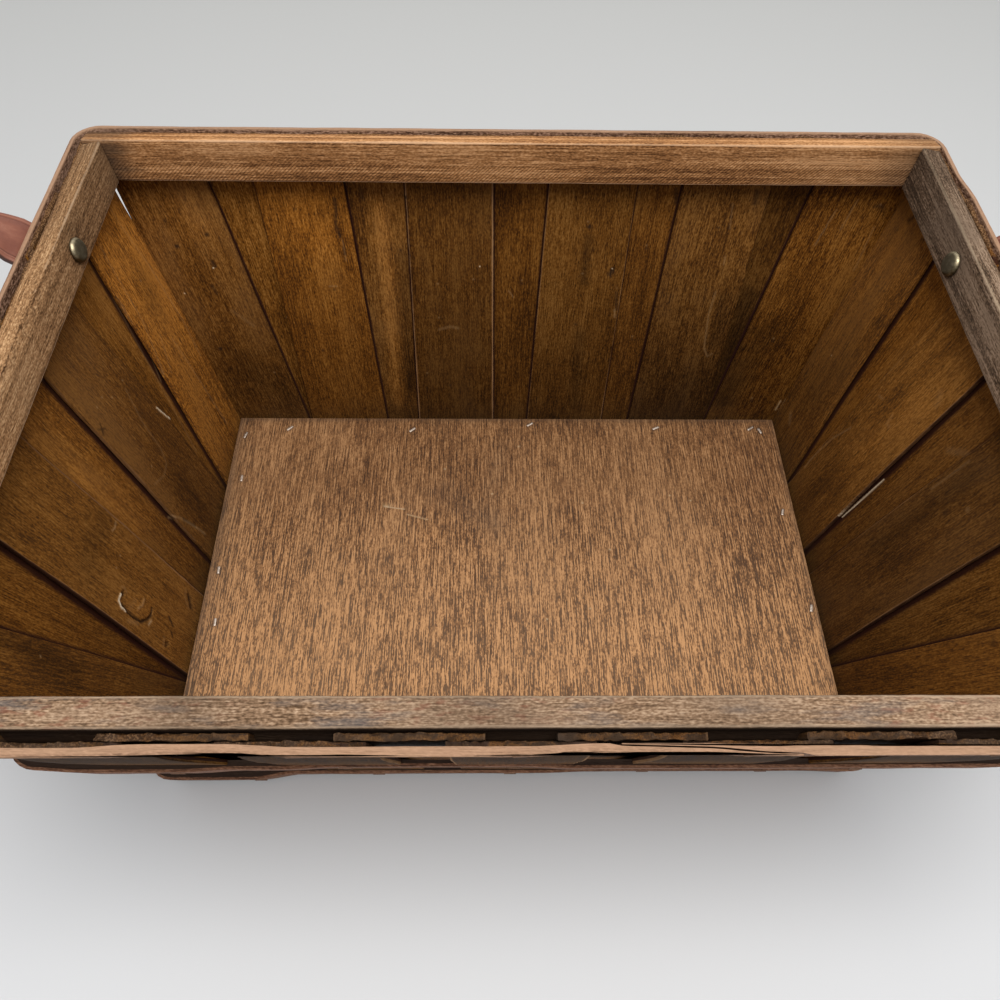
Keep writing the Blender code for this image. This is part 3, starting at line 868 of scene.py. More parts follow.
    def hand_over(self, slot: str, material: bpy.types.Material, *nodes: str) -> None:
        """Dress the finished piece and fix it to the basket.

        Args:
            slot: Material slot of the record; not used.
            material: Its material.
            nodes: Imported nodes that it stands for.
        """
        self.mesh.materials.clear()
        self.mesh.materials.append(material)
        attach(self.body, "basket")
        for node in nodes:
            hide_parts(node)
        LOG.info("%s: %d faces", self.body.name, len(self.mesh.polygons))


# --------------------------------------------------------------------------- walls

class Side(Enum):
    """The four sides of the basket and how far each is turned from the far one."""

    FAR = 0.0
    NEAR = math.pi
    LEFT = math.pi / 2
    RIGHT = -math.pi / 2

    @property
    def label(self) -> str:
        """The side's name in the nodes."""
        return self.name.lower()

    @property
    def is_end(self) -> bool:
        """Whether this is one of the two short sides."""
        return self in (Side.LEFT, Side.RIGHT)


@dataclass(frozen=True)
class WallLine:
    """The sloping line of the walls, as the solids have it."""

    foot_half_length: float = 178.7 * MM
    foot_half_width: float = 113.3 * MM
    height: float = 209.0 * MM
    flare: float = math.radians(16.5)
    lean: float = math.radians(11.0)
    rim_out: float = 55.7296 * MM
    rim_height: float = 201.3052 * MM
    slat_thickness: float = 2.4 * MM
    rail_height: float = 23.0 * MM
    rail_thickness: float = 11.0 * MM
    board_top: float = 20.3 * MM

    def half_depth(self, side: Side) -> float:
        """Distance of a side's foot from the middle of the basket."""
        return self.foot_half_length if side.is_end else self.foot_half_width

    def axes(self, side: Side, rim: bool = False) -> Matrix:
        """Matrix from the own axes of a wall, or of a rail, to the frame.

        Args:
            side: Which side.
            rim: Whether the axes lean as the rail does and start at the rim's inner edge.

        Returns:
            Columns along the side, up its slope and out through it, and its start.
        """
        tilt = self.lean if rim else self.flare
        out, height = (self.rim_out, self.rim_height) if rim else (0.0, 0.0)
        start = Matrix.Translation((0.0, self.half_depth(side) + out, height))
        slope = Matrix(((1.0, 0.0, 0.0), (0.0, math.sin(tilt), math.cos(tilt)),
                        (0.0, math.cos(tilt), -math.sin(tilt)))).transposed()
        return Matrix.Rotation(side.value, 4, "Z") @ (start @ slope.to_4x4())

    def local(self, side: Side, points: np.ndarray, rim: bool = False) -> np.ndarray:
        """Places along a side, up it and out through it.

        Args:
            side: Which side.
            points: Rows of places in the frame.
            rim: Whether they are counted in the rail's axes.

        Returns:
            Rows of places in the side's axes.
        """
        matrix = np.array(self.axes(side, rim).inverted())
        return points @ matrix[:3, :3].T + matrix[:3, 3]


WALL = WallLine()


class Trace(Enum):
    """What a mark does to the wood."""

    DARK = 0
    PALE = 1
    DIRT = 2
    LIGHT = 3


@dataclass(frozen=True)
class Stroke:
    """A mark drawn along a line, in millimetres.

    On a wall the line's points are places along the wall and heights above the board.
    """

    trace: Trace
    width: float
    share: float
    lift: float
    line: tuple[tuple[float, float], ...]

    def apart(self, places: np.ndarray, line: np.ndarray) -> np.ndarray:
        """Distance of places from the line, counted in widths of the stroke.

        Args:
            places: Two columns of places.
            line: The stroke's points in the same axes.

        Returns:
            One distance for each place, made a little ragged.
        """
        nearest = np.linalg.norm(places - line[0], axis=1)
        for start, end in zip(line, line[1:]):
            span = end - start
            share = np.clip((places - start) @ span / (span @ span), 0, 1)
            beside = places - start - share[:, None] * span
            nearest = np.minimum(nearest, np.linalg.norm(beside, axis=1))
        ragged = 1 + 0.3 * np.sin(places[:, 0] * 4200.0) * np.sin(places[:, 1] * 2300.0)
        return nearest / (self.width * MM) * ragged

    def strength(self, apart: np.ndarray) -> np.ndarray:
        """Share of the mark at distances from its line."""
        sharp = self.trace in (Trace.DARK, Trace.PALE)
        return (np.clip(1.35 - apart, 0, 1) if sharp else np.exp(-apart ** 2)) * self.share


def lay_strokes(strokes: Iterable[Stroke], apart: Callable[[Stroke], np.ndarray],
                shown: np.ndarray, tone: np.ndarray, mark: np.ndarray) -> None:
    """Add strokes to the tone and the marks of a surface.

    Args:
        strokes: The strokes.
        apart: Gives the distance of every vertex from a stroke, in its widths.
        shown: Whether each vertex takes them.
        tone: Tone of every vertex, changed in place.
        mark: Marks of every vertex, changed in place.
    """
    for stroke in strokes:
        strength = stroke.strength(apart(stroke)) * shown
        if stroke.trace is Trace.LIGHT:
            tone[:, 0] *= 1 + strength
        else:
            part = stroke.trace.value
            mark[:, part] = np.maximum(mark[:, part], strength)


@dataclass(frozen=True)
class SlatLook:
    """How light, grey and streaky a slat is, and how much of its light painted shade leaves at its
    foot.
    """

    light: float
    grey: float = 0.0
    foot: float = 0.5
    streaky: float = 0.0


SLAT_FINISHES = {finish.name.replace(" ", "_"): finish
                 for finish in (SLAT_AMBER, SLAT_BROWN, SLAT_HONEY, SLAT_UMBER)}


def slot_of(node: str) -> str:
    """Material slot that the record gives a node."""
    return next(row["material_slot"] for row in frame["record"]["subparts"]
                if row["node"] == node)


@dataclass
class SlatWall:
    """The lapped slats of one side."""

    side: Side
    inner: tuple[SlatLook, ...]
    outer: tuple[SlatLook, ...]
    strokes: tuple[Stroke, ...] = ()
    seed: int = 0
    outer_seed: int = 20
    grid: float = 4.2 * MM
    top_grid: float = 2.0 * MM
    eased: float = 0.4 * MM
    ragged_reach: float = 14.0 * MM
    ragged_size: float = 2.4 * MM
    ragged_drop: float = 2.2 * MM
    near_torn: float = 2.4
    uneven_size: float = 17.0 * MM
    uneven_drop: float = 3.4 * MM
    warp_size: float = 60.0 * MM
    warp: float = 0.5 * MM
    chip_size: float = 5.0 * MM
    chip: float = 0.55 * MM
    corner_press: float = 0.75 * MM
    wedge_foot: float = 147.0 * MM
    wedge_width: float = 1.5 * MM
    foot_row: float = 30.0 * MM
    outer_start: float = 2.7 * MM
    groove: float = 1.5 * MM
    end_groove: float = 3.4 * MM
    shade_from: float = 28.0 * MM
    shade_reach: float = 125.0 * MM
    outside_from: float = 80.0 * MM
    outside_shade: float = 0.78
    rim_dirt_from: float = 185.0 * MM
    rim_dirt: float = 0.62
    edges: list[tuple[np.ndarray, np.ndarray]] = field(default_factory=list)

    def build(self) -> None:
        """Work every slat of the wall."""
        for layer, looks in (("inner", self.inner), ("outer", self.outer)):
            for number, look in enumerate(looks, start=1):
                self._slat(layer, number, look)

    def _local(self, slat: Piece) -> np.ndarray:
        """Places of a slat's vertices in the wall's axes."""
        return WALL.local(self.side, slat.points)

    def _slat(self, layer: str, number: int, look: SlatLook) -> None:
        """Work one slat from its solid.

        Args:
            layer: Whether it lies in the inner or the outer layer.
            number: Its number along the wall.
            look: Its light and colour.
        """
        node = f"{self.side.label}_slat_{layer}_{number}"
        slat = Piece.copy_solid(node, f"{self.side.label}_{layer}_slat_{number}")
        slat.bevel(self.eased)
        if layer == "inner" and number in (1, len(self.inner)):
            self._close_corner(slat, -1 if number == 1 else 1)
        slat.refine(self.grid)
        if self.side is Side.NEAR:
            slat.refine(self.top_grid, lambda middles: WALL.local(
                self.side, middles)[:, 1] > WALL.height - 5.0 * MM)
        if layer == "inner":
            self.edges.append(self._edge_lines(slat))
        self._refine_at(slat)
        rise = self._local(slat)[:, 1]
        end = np.clip((rise - WALL.height + self.ragged_reach) / self.ragged_reach, 0, 1) ** 2
        torn = self.near_torn if self.side is Side.NEAR else 1.0
        slat.roughen("ragged end", self.ragged_size, self.ragged_drop * torn, "Z", 1.0,
                     weights=end)
        slat.roughen("uneven end", self.uneven_size, self.uneven_drop, "Z", 0.9,
                     weights=end)
        slat.roughen("warp", self.warp_size, self.warp, detail=1)
        places, half = self._grain_axes(slat)
        slat.roughen("chipped edge", self.chip_size, self.chip, weights=np.clip(
            (np.abs(places[:, 0]) - half + 3.5 * MM) / (3.0 * MM), 0, 1))
        self._carve(slat)
        self._paint(slat, look, layer, number)
        slat.smooth()
        slot = slot_of(node)
        slat.hand_over(slot, material_of(SLAT_FINISHES[slot]), node)

    def _close_corner(self, slat: Piece, hand: int) -> None:
        """Press a corner slat against its neighbour round the corner.

        Args:
            slat: The corner slat.
            hand: Sign of the wall's axis at this corner.
        """
        def shaved() -> np.ndarray:
            """Weight of each vertex on the slat's shaved edge.

            Returns:
                Shares from 0 to 1.
            """
            local = self._local(slat)
            half = WALL.foot_half_width if self.side.is_end else WALL.foot_half_length
            corner = half + WALL.rim_out * local[:, 1] / WALL.height
            return np.clip((local[:, 0] * hand - corner + 5.0 * MM) / (2.5 * MM), 0, 1)

        axis = "Y" if self.side.is_end else "X"
        sign = hand if self.side in (Side.FAR, Side.LEFT) else -hand
        slat.press("close corner", self.corner_press * sign, shaved(), axis)
        slat.refine(self.grid)
        if (self.side, hand) in ((Side.FAR, -1), (Side.LEFT, 1)):
            opened = np.clip((self._local(slat)[:, 1] - self.wedge_foot) / (40.0 * MM), 0, 1)
            slat.press("corner wedge", -self.wedge_width * sign, shaved() * opened, axis)

    def _grain_axes(self, slat: Piece) -> tuple[np.ndarray, float]:
        """Places of a slat's vertices in the slat's own axes.

        Args:
            slat: The slat.

        Returns:
            Each vertex's place across, out and along the slat, and half of the slat's width.
        """
        local = self._local(slat)
        low = local[local[:, 1] < self.foot_row][:, 0]
        high = local[local[:, 1] > WALL.height - self.foot_row][:, 0]
        foot = (low.min() + low.max()) / 2
        rim = (high.min() + high.max()) / 2
        run = WALL.height - self.foot_row
        tilt = math.atan2(rim - foot, run)
        across = local[:, 0] - (foot + (rim - foot) * (local[:, 1] - self.foot_row / 2) / run)
        across = across * math.cos(tilt)
        along = local[:, 1] / math.cos(tilt) + across * math.sin(tilt)
        return columns(across, local[:, 2], along), (high.max() - high.min()) / 2

    def _edge_lines(self, slat: Piece) -> tuple[np.ndarray, np.ndarray]:
        """Find the two long edges of a slat.

        Args:
            slat: The slat.

        Returns:
            Place along the wall at the foot and at the rim, for both edges.
        """
        local = self._local(slat)
        steps = np.round(local[:, 1] / (12.0 * MM))
        rows = [local[steps == step] for step in np.unique(steps)]
        ends = []
        for edge in (np.array([row[row[:, 0].argmin(), :2] for row in rows]),
                     np.array([row[row[:, 0].argmax(), :2] for row in rows])):
            slope, foot = np.polyfit(edge[:, 1], edge[:, 0], 1)
            ends.append(np.array((foot, foot + slope * WALL.height)))
        return ends[0], ends[1]

    def _beyond_inner(self, local: np.ndarray) -> np.ndarray:
        """Distance of places from the nearest inner slat, below 0 where one covers them.

        Args:
            local: Rows of places in the wall's axes.

        Returns:
            One distance for each place.
        """
        rise = local[:, 1] / WALL.height
        beyond = np.full(len(local), 1.0)
        for first, last in self.edges:
            left = first[0] + (first[1] - first[0]) * rise
            right = last[0] + (last[1] - last[0]) * rise
            beyond = np.minimum(beyond, np.maximum(left - local[:, 0], local[:, 0] - right))
        return beyond

    @property
    def _hand(self) -> int:
        """Sign of the frame's axis along the wall."""
        return -1 if self.side in (Side.NEAR, Side.RIGHT) else 1

    def _apart(self, stroke: Stroke, local: np.ndarray) -> np.ndarray:
        """Distance of places from a stroke, counted in its widths.

        Args:
            stroke: The stroke.
            local: Rows of places in the wall's axes.

        Returns:
            One distance for each place.
        """
        line = np.array(stroke.line) * MM
        line[:, 0] *= self._hand
        line[:, 1] = (line[:, 1] + WALL.board_top) / math.cos(WALL.flare)
        return stroke.apart(local[:, :2], line)

    def _refine_at(self, slat: Piece) -> None:
        """Give a slat the fine mesh that its marks need.

        Args:
            slat: The slat.
        """
        dotted = [stroke for stroke in self.strokes if len(stroke.line) == 1]
        lines = [stroke for stroke in self.strokes if stroke.width <= 3.0
                 and len(stroke.line) > 1]
        for finest, reach, chosen in ((2.4 * MM, 2.8, dotted + lines),
                                      (0.9 * MM, 1.1, [s for s in lines if s.width < 1.4]),
                                      (0.55 * MM, 1.0, dotted)):
            def near(middles: np.ndarray) -> np.ndarray:
                """Whether each place is close to one of the strokes.

                Args:
                    middles: Rows of places in the frame.

                Returns:
                    One answer for each place.
                """
                local = WALL.local(self.side, middles)
                close = np.zeros(len(local), bool)
                for stroke in chosen:
                    close |= self._apart(stroke, local) < 1.4 + reach / stroke.width
                return close & (local[:, 2] < WALL.slat_thickness * 1.6)
            slat.refine(finest, near)

    def _faces_in(self, slat: Piece) -> np.ndarray:
        """Whether each vertex lies on the slat's inner face."""
        out = np.array(WALL.axes(self.side).to_3x3() @ Vector((0.0, 0.0, 1.0)))
        return slat.normals @ out < 0.05

    def _carve(self, slat: Piece) -> None:
        """Raise and sink the marks of the inner face.

        Args:
            slat: The slat.
        """
        local = self._local(slat)
        inner = self._faces_in(slat)
        for sign in (1, -1):
            move = np.zeros(len(local))
            for stroke in self.strokes:
                if stroke.lift * sign > 0:
                    share = np.clip(1.3 - self._apart(stroke, local), 0, 1) * inner
                    move = np.maximum(move, share * abs(stroke.lift))
            if move.max() > 0.01:
                slat.press("mark", sign * move.max() * MM, move / move.max())

    def _paint(self, slat: Piece, look: SlatLook, layer: str, number: int) -> None:
        """Store the grain, place, laps, tone and marks of a slat.

        Args:
            slat: The slat.
            look: Its light and colour.
            layer: Whether it lies in the inner or the outer layer.
            number: Its number along the wall.
        """
        places, half = self._grain_axes(slat)
        local = self._local(slat)
        inner = self._faces_in(slat)
        outer = layer == "outer"
        beside = np.maximum(half - np.abs(places[:, 0]), 0)
        depth = places[:, 1] - (self.outer_start if outer else 0.0)
        # Painted shade: the outer slats' grooves beside the inner slats' edges, and on the end
        # walls the inner slats' edges, fully on the edge facing the near side.
        lap = np.zeros_like(places)
        if outer:
            groove = self.end_groove if self.side.is_end else self.groove
            lap[:, 0] = np.clip(1 - self._beyond_inner(local) / (groove * 6), 0, 2) * inner
        elif self.side.is_end:
            lap[:, 1] = np.where(places[:, 0] * self._hand < 0, 1.0, 0.4)
        # Painted shade: each slat is painted darker towards the board, down to its foot share of
        # light.
        upper = np.clip((places[:, 2] - self.shade_from) / self.shade_reach, 0, 1)
        tone = columns(look.light * (look.foot + (1 - look.foot) * upper),
                       look.grey + (0.18 if self.side.is_end else -0.10), look.streaky)
        mark = np.zeros_like(places)
        lay_strokes(self.strokes, lambda stroke: self._apart(stroke, local), inner, tone, mark)
        if self.side is Side.NEAR:
            shade = np.clip((local[:, 1] - self.outside_from) / (80.0 * MM), 0, 1) * ~inner
            tone[:, 0] *= 1 - self.outside_shade * shade
            # Painted shade and dirt: the near slats' tops take the dirt colour, which stands in
            # for shade in the slots between rail and band and for dirt on the torn tops.
            dirt = np.clip((local[:, 1] - self.rim_dirt_from) / (10.0 * MM), 0, self.rim_dirt)
            mark[:, 2] = np.maximum(mark[:, 2], dirt)
        seed = self.seed + number + (self.outer_seed if outer else 0)
        slat.paint(grain=places + np.array((0.37, 0.11, 0.53)) * seed,
                   place=columns(1 - beside / EDGE_BELT, places[:, 2] / WALL.height,
                                 depth / WALL.slat_thickness),
                   lap=lap, tone=tone, mark=mark)


# --------------------------------------------------------------------------- rails and battens

@dataclass
class TopRails:
    """The four wooden rails inside the rim."""

    eased: float = 0.7 * MM
    grid: float = 3.0 * MM
    torn_grid: float = 1.1 * MM
    seat: float = 0.3 * MM
    gnawed_middle: float = 18.0 * MM
    gnawed_reach: float = 62.0 * MM
    gnawed_size: float = 2.6 * MM
    gnawed_depth: float = 3.6 * MM
    tight: float = 2.6 * MM
    top_light: float = 1.1
    far_top_light: float = 1.32
    left_light: tuple[float, float] = (1.42, 0.96)
    left_light_run: tuple[float, float] = (-60.0 * MM, 110.0 * MM)

    def build(self) -> None:
        """Work the four rails."""
        rows = ((Side.FAR, RAIL_FAR), (Side.NEAR, RAIL_NEAR), (Side.LEFT, RAIL_LEFT),
                (Side.RIGHT, RAIL_RIGHT))
        for number, (side, finish) in enumerate(rows):
            rail = self._shape(side)
            self._paint(rail, side, number)
            rail.hand_over(f"rail_{side.label}", material_of(finish), f"top_rail_{side.label}")

    def _shape(self, side: Side) -> Piece:
        """Shape one rail from its solid.

        Args:
            side: Which rail.

        Returns:
            The rail.
        """
        rail = Piece.copy_solid(f"top_rail_{side.label}", f"rail_{side.label}")
        rail.as_plank()
        rail.bevel(self.eased)
        rail.refine(self.grid)
        if side is Side.NEAR:
            local = WALL.local(side, rail.points, rim=True)
            low = np.clip((-9.0 * MM - local[:, 1]) / (4.0 * MM), 0, 1)
            rail.press("tight", -self.tight, low * self._outside(rail), "Y")
        rail.roughen("sawn", 3.0 * MM, 0.15 * MM)
        rail.roughen("worn", 22.0 * MM, 0.35 * MM, detail=1)
        if side is Side.LEFT:
            self._gnaw(rail)
        rail.smooth(50.0)
        return rail

    def _paint(self, rail: Piece, side: Side, number: int) -> None:
        """Store the grain, place, tone and marks of a rail.

        Args:
            rail: The rail.
            side: Which rail.
            number: Its number, which shifts its grain.
        """
        points = rail.points
        local = WALL.local(side, points, rim=True)
        half, tall = WALL.rail_thickness / 2, WALL.rail_height / 2
        inside = half - np.abs(local[:, 2] + self.seat + half)
        within = tall - np.abs(local[:, 1] + tall)
        beside = np.clip(np.maximum(inside, within), 0, None)
        height = (local[:, 1] + tall) / tall
        # Painted light: the top face of each rail is painted lighter, the far rail's most.
        top_light = self.far_top_light if side is Side.FAR else self.top_light
        tone = columns(np.where(height > 0.96, top_light, 1.0), 0.0, 0.0)
        # Painted light and shade: the left rail is painted lighter towards its near end and darker
        # towards its far end, to even out how the lamp lights it.
        if side is Side.LEFT:
            tone[:, 0] *= np.interp(points[:, 1], self.left_light_run, self.left_light)
        mark = columns(0.0, 0.0, self._dirt(side, points))
        if side is Side.NEAR:
            # Painted shade: the near rail's face towards the slats is painted dark below its top.
            mark[:, 0] = np.clip((0.94 - height) * 14, 0, 0.93) * self._outside(rail)
        rail.paint(grain=local[:, (1, 2, 0)] + np.array((0.7 * number, 0.3, 1.1 * number)),
                   place=columns(1 - beside / EDGE_BELT, MID_WALL, height), tone=tone, mark=mark)

    @staticmethod
    def _outside(rail: Piece) -> np.ndarray:
        """Whether each vertex of the near rail faces the slats."""
        return rail.normals[:, 1] < -0.5

    @staticmethod
    def _dirt(side: Side, points: np.ndarray) -> np.ndarray:
        """Dark handling marks and dirt on a rail.

        Args:
            side: Which rail.
            points: Rows of places in the frame.

        Returns:
            Share of dirt at each place.
        """
        x, y, z = points.T
        if side is Side.FAR:
            ragged = 5.0 * MM * np.sin(z * 900.0) * np.sin(z * 2100.0 + 1.0)
            dirt = np.maximum(np.clip((-205.0 * MM - x + ragged) / (14.0 * MM), 0, 1) * 0.9,
                              np.clip((x - 196.0 * MM) / (30.0 * MM), 0, 1) * 0.5)
            return dirt * np.clip((0.205 - z) / (4.0 * MM), 0.25, 1)
        if side is Side.RIGHT:
            return np.clip((y - 20.0 * MM) / (120.0 * MM), 0, 1) * 0.5
        if side is Side.LEFT:
            stain = np.hypot((y - 90.0 * MM) / (12.0 * MM), (z - 0.192) / (10.0 * MM))
            return np.exp(-stain ** 2) * 0.45 + np.clip((y - 110.0 * MM) / (50.0 * MM), 0, 1) * 0.3
        return sum(np.exp(-((x - middle * MM) / (reach * MM)) ** 2) * share
                   for middle, reach, share in ((-115.0, 16.0, 0.4), (-18.0, 24.0, 0.32),
                                                (62.0, 30.0, 0.25)))

    def _gnaw(self, rail: Piece) -> None:
        """Tear the inner top edge of the left rail.

        Args:
            rail: The left rail.
        """
        def torn(middles: np.ndarray) -> np.ndarray:
            """Whether each place is on the torn edge.

            Args:
                middles: Rows of places in the frame.

            Returns:
                One answer for each place.
            """
            spots = WALL.local(Side.LEFT, middles, rim=True)
            return ((np.abs(spots[:, 0] - self.gnawed_middle) < self.gnawed_reach + 8 * MM)
                    & (spots[:, 1] > -9.0 * MM) & (spots[:, 2] < -4.0 * MM))
        rail.refine(self.torn_grid, torn)
        local = WALL.local(Side.LEFT, rail.points, rim=True)
        run = np.clip(1.2 - np.abs(local[:, 0] - self.gnawed_middle) / self.gnawed_reach, 0, 1)
        distance = np.hypot(local[:, 2] + self.seat + WALL.rail_thickness, local[:, 1])
        weight = run * np.clip(1.25 - distance / (5.5 * MM), 0, 1)
        rail.roughen("torn", self.gnawed_size, self.gnawed_depth, middle=0.85,
                     weights=weight, detail=3)


@dataclass
class FloorBattens:
    """The four battens behind the slats' feet."""

    eased: float = 0.6 * MM
    grid: float = 6.0 * MM

    def build(self) -> None:
        """Work the four battens."""
        for number, side in enumerate(Side):
            node = f"floor_batten_{side.label}"
            batten = Piece.copy_solid(node, f"batten_{side.label}")
            batten.bevel(self.eased)
            batten.refine(self.grid)
            batten.roughen("sawn", 9.0 * MM, 0.25 * MM)
            batten.smooth()
            local = WALL.local(side, batten.points)
            batten.paint(grain=local[:, (1, 2, 0)] + np.array((2.1 * number, 0.2, 1.7)),
                         place=np.full(local.shape, 0.5), tone=local * 0 + (1.0, 0.0, 0.0))
            batten.hand_over("batten", material_of(BATTEN), node)


@dataclass
class FloorBoard:
    """The plywood board, with its marks."""

    strokes: tuple[Stroke, ...] = ()
    eased: float = 0.5 * MM
    grid: float = 5.0 * MM
    mark_grid: float = 0.8 * MM
    fine_width: float = 3.0
    scratch: float = 0.3 * MM
    edge_belt: float = 30.0 * MM

    def build(self) -> None:
        """Work the board."""
        board = Piece.copy_solid("floor_board", "board")
        board.bevel(self.eased)
        board.refine(self.grid)
        fine = [stroke for stroke in self.strokes if stroke.width < self.fine_width]

        def near_mark(middles: np.ndarray) -> np.ndarray:
            """Whether each place is close to a fine mark."""
            close = [self._apart(stroke, middles) < 1.5 + 1.2 / stroke.width for stroke in fine]
            return np.any(close, axis=0) & (middles[:, 2] > WALL.board_top - MM)
        board.refine(self.mark_grid, near_mark)
        points = board.points
        top = points[:, 2] > WALL.board_top - MM
        groove = np.zeros(len(points))
        for stroke in fine:
            if stroke.lift:
                groove = np.maximum(groove, np.clip(1.3 - self._apart(stroke, points), 0, 1))
        board.press("scratch", -self.scratch, groove * top)
        board.smooth()
        self._paint(board, top)
        board.hand_over("board", material_of(BOARD), "floor_board")

    def _paint(self, board: Piece, top: np.ndarray) -> None:
        """Store the grain, place, tone and marks of the board.

        Args:
            board: The board.
            top: Whether each vertex lies on its upper face.
        """
        points = board.points
        reach = np.abs(points[:, :2])
        edge = (reach - reach.max(axis=0)).max(axis=1)
        # Painted sheen: the near part of the board is painted lighter and greyer, standing in for
        # the sky's sheen there, and its grain is made more streaky.
        near = np.clip((60.0 * MM - points[:, 1]) / (170.0 * MM), 0, 1)
        tone = columns(0.67 + 0.49 * near, near * 0.25, near * 1.5 - 0.45)
        mark = np.zeros_like(points)
        lay_strokes(self.strokes, lambda stroke: self._apart(stroke, points), top, tone, mark)
        board.paint(grain=points[:, (0, 2, 1)] + np.array((3.3, 0.0, 1.9)),
                    place=columns(1 + edge / self.edge_belt, MID_WALL, 0.0), tone=tone, mark=mark)

    @staticmethod
    def _apart(stroke: Stroke, points: np.ndarray) -> np.ndarray:
        """Distance of places on the board from a stroke, counted in its widths."""
        return stroke.apart(points[:, :2], np.array(stroke.line) * MM)


# --------------------------------------------------------------------------- bands

@dataclass(frozen=True)
class Slack:
    """A place where a band stands off its slats, or is pulled in."""

    axis: str
    depth: float
    middle: tuple[float, float]
    reach: tuple[float, float]
    foot_only: bool = False
    fade: float = 24.0 * MM

    def weights(self, points: np.ndarray) -> np.ndarray:
        """Share of the move at each vertex.

        Args:
            points: Rows of places in the frame.

        Returns:
            Shares from 0 to 1.
        """
        apart = np.clip((np.abs(points[:, :2] - self.middle) - self.reach) / self.fade, 0, 1)
        share = np.clip(1 - np.hypot(*apart.T), 0, 1)
        share = share * share * (3 - 2 * share)
        if self.foot_only:
            low, high = points[:, 2].min(), points[:, 2].max()
            share *= (high - points[:, 2]) / (high - low)
        return share


@dataclass
class Bands:
    """The rim band, the middle band and the foot band."""

    eased: float = 0.35 * MM
    grid: float = 5.0 * MM
    rim_overhang: float = 1.5 * MM
    behind: float = 2.4 * MM
    stained_from: float = 107.0 * MM
    slack: tuple[tuple[Slack, ...], ...] = (
        (Slack("Y", 1.7 * MM, (0.0, -0.180), (0.21, 0.010), True),
         Slack("Y", 0.9 * MM, (-0.115, -0.180), (0.012, 0.010)),
         Slack("Y", 0.8 * MM, (0.040, -0.180), (0.018, 0.010)),
         Slack("X", -2.6 * MM, (0.240, 0.160), (0.03, 0.020))),
        (Slack("Y", -1.2 * MM, (-0.165, -0.150), (0.020, 0.012)),
         Slack("Y", 1.0 * MM, (-0.040, -0.150), (0.040, 0.012))),
        (Slack("Y", -3.2 * MM, (-0.160, -0.120), (0.022, 0.012)),
         Slack("Y", 0.9 * MM, (0.100, -0.120), (0.060, 0.012))),
    )

    def build(self) -> None:
        """Work the three bands."""
        rows = zip(("rim", "middle", "foot"), (BAND, HOOP, HOOP), self.slack)
        for number, (label, finish, slack) in enumerate(rows, start=1):
            node = f"{label}_band"
            band = Piece.copy_solid(node, f"band_{label}")
            band.bevel(self.eased)
            band.refine(self.grid)
            painted_shade = self._fit(band, slack, label == "rim")
            band.roughen("wavy", 30.0 * MM, 0.4 * MM, detail=1)
            band.roughen("fibres", 4.0 * MM, 0.2 * MM)
            band.smooth()
            self._paint(band, painted_shade, number)
            band.hand_over("band", material_of(finish), node)

    def _fit(self, band: Piece, slack: Sequence[Slack], is_rim: bool) -> np.ndarray:
        """Let a band hang slack in places and meet its slats in others.

        Args:
            band: The band.
            slack: The places where it stands off or is pulled in.
            is_rim: Whether it is the rim band.

        Returns:
            Whether each vertex is painted dark as shade.
        """
        share = np.zeros(len(band.mesh.vertices))
        for place in slack:
            weights = place.weights(band.points)
            share = share - weights * place.depth / self.behind
            band.press("slack", place.depth, weights, place.axis)
        if is_rim:
            self._thicken(band)
            return np.zeros(len(share), bool)
        return self._fill(band, share)

    def _paint(self, band: Piece, painted_shade: np.ndarray, number: int) -> None:
        """Store the grain, place, tone and marks of a band.

        Args:
            band: The band.
            painted_shade: Whether each vertex is painted dark as shade.
            number: Its number, which shifts its grain.
        """
        points = band.points
        height = points[:, 2]
        half = np.array((WALL.foot_half_length, WALL.foot_half_width))
        beyond = (np.abs(points[:, :2]) - half
                  - points[:, 2:3] * math.tan(WALL.flare)).max(axis=1)
        grain = columns(height, beyond, points[:, 0] + points[:, 1])
        beside = np.minimum(height.max() - height, height - height.min())
        # Painted shade: the near band's packing and inner face take the dark mark.
        band.paint(grain=grain + np.array((1.3 * number, 0.4 * number, 2.2 * number)),
                   place=columns(1 - beside / EDGE_BELT, MID_WALL, 0.0),
                   tone=points * 0 + (1.0, 0.0, 0.0), mark=np.outer(painted_shade, (0.93, 0.0, 0.0)))

    def _thicken(self, band: Piece) -> None:
        """Let the upper edge of the near rim band stand out.

        Args:
            band: The rim band.
        """
        points = band.points
        depth = WALL.local(Side.NEAR, points, rim=True)[:, 2]
        rise = (points[:, 2] - points[:, 2].min()) / np.ptp(points[:, 2])
        near = np.clip((-0.150 - points[:, 1]) / (6.0 * MM), 0, 1)
        band.press("thick edge", -self.rim_overhang,
                   near * np.clip((depth - 5.0 * MM) / (3.5 * MM), 0, 1)
                   * np.clip(rise * 1.6 - 0.6, 0, 1), "Y")

    def _fill(self, band: Piece, share: np.ndarray) -> np.ndarray:
        """Let the inner face of a near band reach back to the slats, as a dark sheet painted in
        the shade of the gap.

        Args:
            band: The band.
            share: How far each vertex already stands off, counted in the usual gap.

        Returns:
            Whether each vertex lies on the part that reaches back.
        """
        points, normals = band.points, band.normals
        inward = -(points[:, :2] * normals[:, :2]).sum(axis=1)
        inward = inward / np.linalg.norm(points[:, :2], axis=1)
        inner = (inward > 0.3) & (np.abs(normals[:, 2]) < 0.5)
        reach = (np.clip((-0.095 - points[:, 1]) / (12.0 * MM), 0, 1) * inner
                 * np.clip(share + 1.0, 0, None))
        most = max(float(reach.max()), 1.0)
        band.press("packing", self.behind * most, reach / most)
        return (reach > 0.3) | ((inward > 0.1) & (points[:, 1] < -self.stained_from))


# --------------------------------------------------------------------------- straps and rivets

